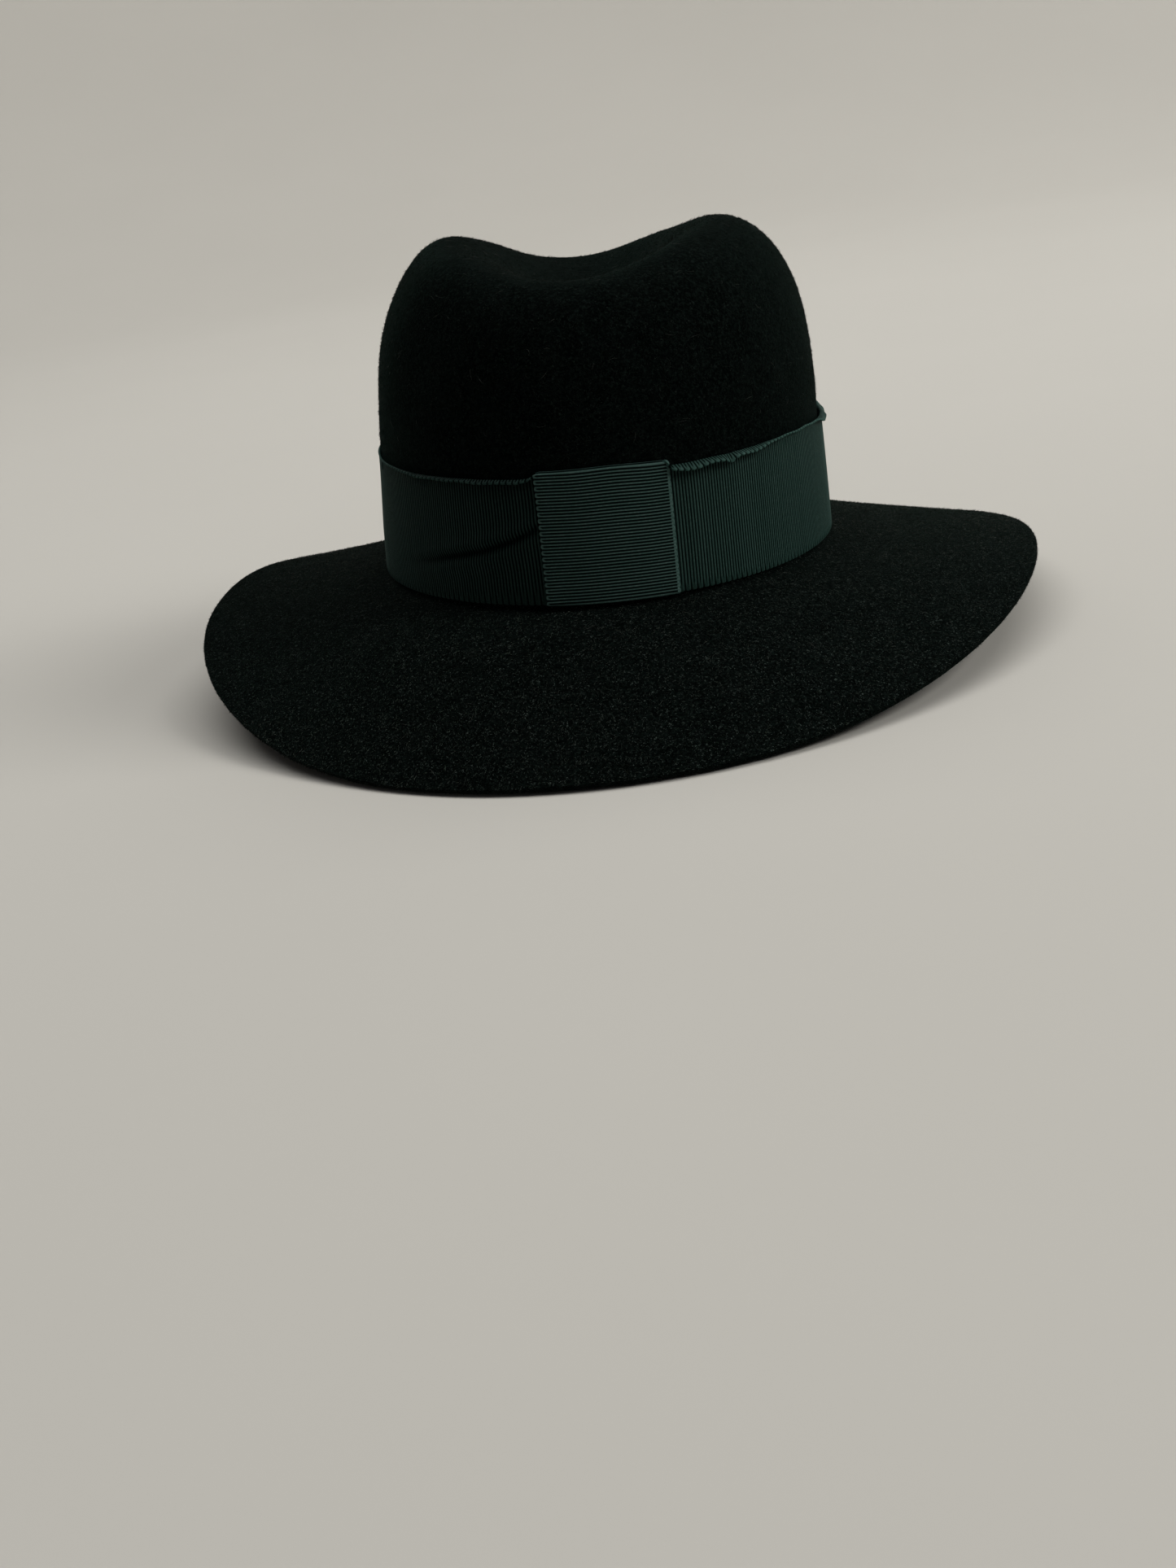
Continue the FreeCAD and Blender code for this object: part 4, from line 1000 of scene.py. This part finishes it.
def build_lining_cord():
    """Twisted cord between the two linings."""
    steps, sides, twist_length = 4, 18, 3.0
    normal = IDEAL_NORMAL[BRIM_ROWS + SEAM_ROW]
    coarse = sunk(IDEAL[BRIM_ROWS + SEAM_ROW], normal, 3.62)
    ahead = np.roll(coarse, -1, 0)
    along = ahead - np.roll(coarse, 1, 0)
    along /= np.linalg.norm(along, axis=-1, keepdims=True)
    share = np.arange(steps)[None, :, None] / steps
    centre = (coarse[:, None] + (ahead - coarse)[:, None] * share).reshape(-1, 3)
    normal = np.repeat(normal, steps, 0)
    side = np.cross(np.repeat(along, steps, 0), normal)
    gaps = np.linalg.norm(np.diff(centre, axis=0), axis=-1)
    distance = np.concatenate([[0], np.cumsum(gaps)])
    total = distance[-1] + np.linalg.norm(centre[0] - centre[-1])
    twist = distance / total * 2 * math.pi * round(total / twist_length)
    rows = []
    for k in range(sides):
        a = 2 * math.pi * k / sides
        radius = 0.40 + 0.12 * np.abs(np.cos(a - twist))
        rows.append(centre + (np.cos(a) * normal + np.sin(a) * side) * radius[:, None])
    ob = ring_mesh("lining_cord", np.array(rows), flip=True)
    place(ob, satin_material("hat_piping", dark=(0.045, 0.065, 0.058),
                             light=(0.070, 0.095, 0.085)), "piping", "lining_piping")


lining_satin = satin_material("hat_lining", dark=(0.020, 0.034, 0.029),
                              light=(0.032, 0.050, 0.044))
build_side_lining(lining_satin)
build_crown_lining(lining_satin)
build_lining_cord()


# ------------------------------------------------------------------ bow and size cloth
def inside_strip(angle, level, along, away, half_height, thick, closed):
    """Rows of a strip on edge inside the sweatband: along it and away from it, in mm."""
    path = np.stack([along, away], -1)
    if closed:
        tangent = unit(np.roll(path, -1, 0) - np.roll(path, 1, 0))
    else:
        tangent = unit(np.gradient(path, axis=0))
    heights = (-1, -0.9, -0.4, 0, 0.4, 0.9, 1)
    rows = []
    for side in (1, -1):
        for h in heights[::side]:
            half = side * thick / 2 * (0.6 if abs(h) == 1 else 1.0)
            offset = -(4.1 + away + half * tangent[:, 0])
            arc = arc_at(angle) + along - half * tangent[:, 1]
            rows.append(oval(angle_at(arc), level + h * half_height, offset))
    return np.array(rows)


BOW_ANGLE, BOW_LEVEL = math.pi / 2, 9.0


def build_bow():
    """Two flat loops at the back, with a knot around their middle."""
    satin = satin_material("hat_bow", dark=(0.020, 0.028, 0.025), light=(0.034, 0.044, 0.040))
    q = np.linspace(0, 2 * math.pi, 120, endpoint=False)
    outwards = np.abs(np.cos(q))
    rows = inside_strip(
        BOW_ANGLE, BOW_LEVEL, along=10.5 * np.cos(q),
        away=1.0 + 0.62 * np.sin(q) * (0.25 + outwards),
        half_height=1.5 + 2.9 * outwards ** 1.2, thick=0.22, closed=True)
    place(ring_mesh("bow_loops", rows), satin, "bow_ribbon", "sweatband_bow")

    # knot rows: (sideways place, half height, half depth), outer face then inner
    section = [(x, 2.15, 0.85 * (1 - 0.12 * abs(x)))
               for x in (-1.9, -1.6, -0.8, 0.0, 0.8, 1.6, 1.9)]
    section += [(x, 1.85, 0.6) for x in (1.8, 0.0, -1.8)]
    turn = np.linspace(0, 2 * math.pi, 48, endpoint=False)
    rows = [oval(BOW_ANGLE + x / 103.0 * 1.24, BOW_LEVEL + half_height * np.sin(turn),
                 -(5.1 + half_depth * np.cos(turn)))
            for x, half_height, half_depth in section]
    place(ring_mesh("bow_knot", np.array(rows), flip=True), satin, "bow_ribbon")


def build_size_cloth():
    """A small woven patch at the back right."""
    x = np.linspace(-10, 10, 60)
    rows = inside_strip(math.radians(62.0), level=12.0 + 0.12 * np.sin(x), along=x,
                        away=0.35 + 0.10 * np.cos(x / 2.2), half_height=5.5, thick=0.28,
                        closed=False)
    ob = capped_mesh("size_cloth", rows)
    place(ob, woven_material("hat_size_cloth", dark=(0.60, 0.57, 0.48),
                             light=(0.80, 0.77, 0.68), scale=5200.0), "size_tab", "size_tab")


build_bow()
build_size_cloth()

# ------------------------------------------------------------------ CAD pieces kept as they are
give(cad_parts["sweatband_reed"], reed_material())
give(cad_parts["sweatband_stitches"],
     fibre_material("hat_seam_thread", dark=(0.26, 0.20, 0.12), light=(0.42, 0.34, 0.22)))
give(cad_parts["ribbon_tacks"],
     fibre_material("hat_ribbon_thread", dark=(0.014, 0.028, 0.025),
                    light=(0.026, 0.044, 0.040)))


# ------------------------------------------------------------------ stage, metres
def paper_material():
    """Pale paper that darkens a little away from the middle."""
    m = Shader("stage_paper")
    cloud = m.noise(scale=3.0)
    flat = m.add("VectorMath", {0: m.point, 1: (1.0, 1.0, 0.0)}, operation="MULTIPLY")
    far = m.add("VectorMath", {0: flat.outputs[0]}, operation="LENGTH").outputs["Value"]
    wall = m.mix(cloud, first=(0.490, 0.474, 0.436), second=(0.520, 0.503, 0.464))
    floor = m.mix(cloud, first=(0.562, 0.547, 0.509), second=(0.590, 0.575, 0.537))
    share = m.add("MapRange", {"From Min": 0.6, "From Max": 2.6, "Value": far}).outputs[0]
    return m.finish({"Base Color": m.mix(share, floor, wall), "Roughness": 0.9,
                     "Specular IOR Level": 0.1})


def wall_section(flat_to, radius=1.6, high=6.5):
    """A floor that turns up into a wall, as (distance, height)."""
    bend = [(flat_to + radius * math.sin(a), radius - radius * math.cos(a))
            for a in np.linspace(0, math.pi / 2, 20)[1:]]
    wall = [(flat_to + radius, high / 2), (flat_to + radius, high)]
    return [(flat_to, 0.0)] + bend + wall


def build_backdrop():
    """One sweep behind the hat returns the light; a round one is what the camera sees."""
    paper = paper_material()
    half_width, drop = 10.0, 0.0008
    points, faces = [], []
    for i, (y, z) in enumerate([(-9.0, 0.0), (-1.5, 0.0)] + wall_section(flat_to=1.6)):
        points += [(-half_width, y, z - drop), (half_width, y, z - drop)]
        if i:
            faces.append([2 * i - 2, 2 * i - 1, 2 * i + 1, 2 * i])
    sweep = mesh_object("backdrop_sweep", points, faces)
    give(sweep, paper)
    sweep.visible_camera = False
    sweep.visible_shadow = False

    n, drop = 96, 0.0004
    points, faces = [(0, 0, -drop)], []
    for i, (reach, z) in enumerate([(0.3, 0.0), (1.2, 0.0)] + wall_section(flat_to=1.57)):
        turns = [2 * math.pi * k / n for k in range(n)]
        points += [(reach * math.cos(a), reach * math.sin(a), z - drop) for a in turns]
        outer = 1 + i * n
        inner = outer - n
        for k in range(n):
            j = (k + 1) % n
            if i == 0:
                faces.append([0, outer + k, outer + j])
            else:
                faces.append([inner + k, outer + k, outer + j, inner + j])
    bowl = mesh_object("backdrop_round", points, faces)
    give(bowl, paper)
    for ray in ("diffuse", "glossy", "transmission", "shadow"):
        setattr(bowl, "visible_" + ray, False)


def area_light(name, at, aim, size, power, colour):
    light = bpy.data.lights.new(name, "AREA")
    light.shape = "RECTANGLE"
    light.size, light.size_y = size
    light.energy = power
    light.color = colour
    ob = bpy.data.objects.new(name, light)
    bpy.context.scene.collection.objects.link(ob)
    ob.location = at
    ob.rotation_euler = (Vector(aim) - Vector(at)).to_track_quat("-Z", "Y").to_euler()


def build_world(lighting, seen):
    """A pale sky with one strength as lighting and another as the camera sees it."""
    world = bpy.data.worlds.new("studio")
    world.use_nodes = True
    tree = world.node_tree
    sky = tree.nodes["Background"]
    sky.inputs["Color"].default_value = (0.95, 0.95, 0.96, 1)
    path = tree.nodes.new("ShaderNodeLightPath")
    level = tree.nodes.new("ShaderNodeMapRange")
    level.inputs["To Min"].default_value = lighting
    level.inputs["To Max"].default_value = seen
    tree.links.new(path.outputs["Is Camera Ray"], level.inputs["Value"])
    tree.links.new(level.outputs[0], sky.inputs["Strength"])
    bpy.context.scene.world = world


def build_camera():
    """In front of the hat, a little to its right; its pose is given in the hat's frame."""
    data = bpy.data.cameras.new("photo_camera")
    data.sensor_fit = "AUTO"
    data.sensor_width = 36.0
    data.lens = 41.100156
    data.clip_start = 0.01
    camera = bpy.data.objects.new("photo_camera", data)
    bpy.context.scene.collection.objects.link(camera)
    right = Vector((0.986199, 0.143191, -0.08311))
    up = Vector((0.029037, 0.34461, 0.938297))
    ahead = Vector((-0.162996, 0.927761, -0.335697))
    facing = REST.to_3x3() @ Matrix((right, up, -ahead)).transposed()
    at = REST @ Vector((103.17, -673.28, 144.34))
    camera.matrix_world = Matrix.Translation(at / 1000.0) @ facing.to_4x4()
    bpy.context.scene.camera = camera


build_backdrop()
area_light("window", at=(3.5, -0.30, 2.5), aim=(0, 0, 0.06), size=(1.8, 1.8), power=93.0,
           colour=(1.0, 0.985, 0.95))
area_light("soft_left", at=(-2.6, -2.2, 1.9), aim=(0, 0, 0.05), size=(2.0, 2.0), power=0.35,
           colour=(0.96, 0.98, 1.0))
area_light("overhead", at=(-0.15, 1.15, 3.0), aim=(-0.05, 0.55, 0.0), size=(5.0, 2.8),
           power=94.0, colour=(1.0, 0.99, 0.97))
build_world(lighting=0.048, seen=0.50)
build_camera()
bpy.context.scene.view_settings.view_transform = "Standard"
bpy.context.scene.view_settings.look = "None"
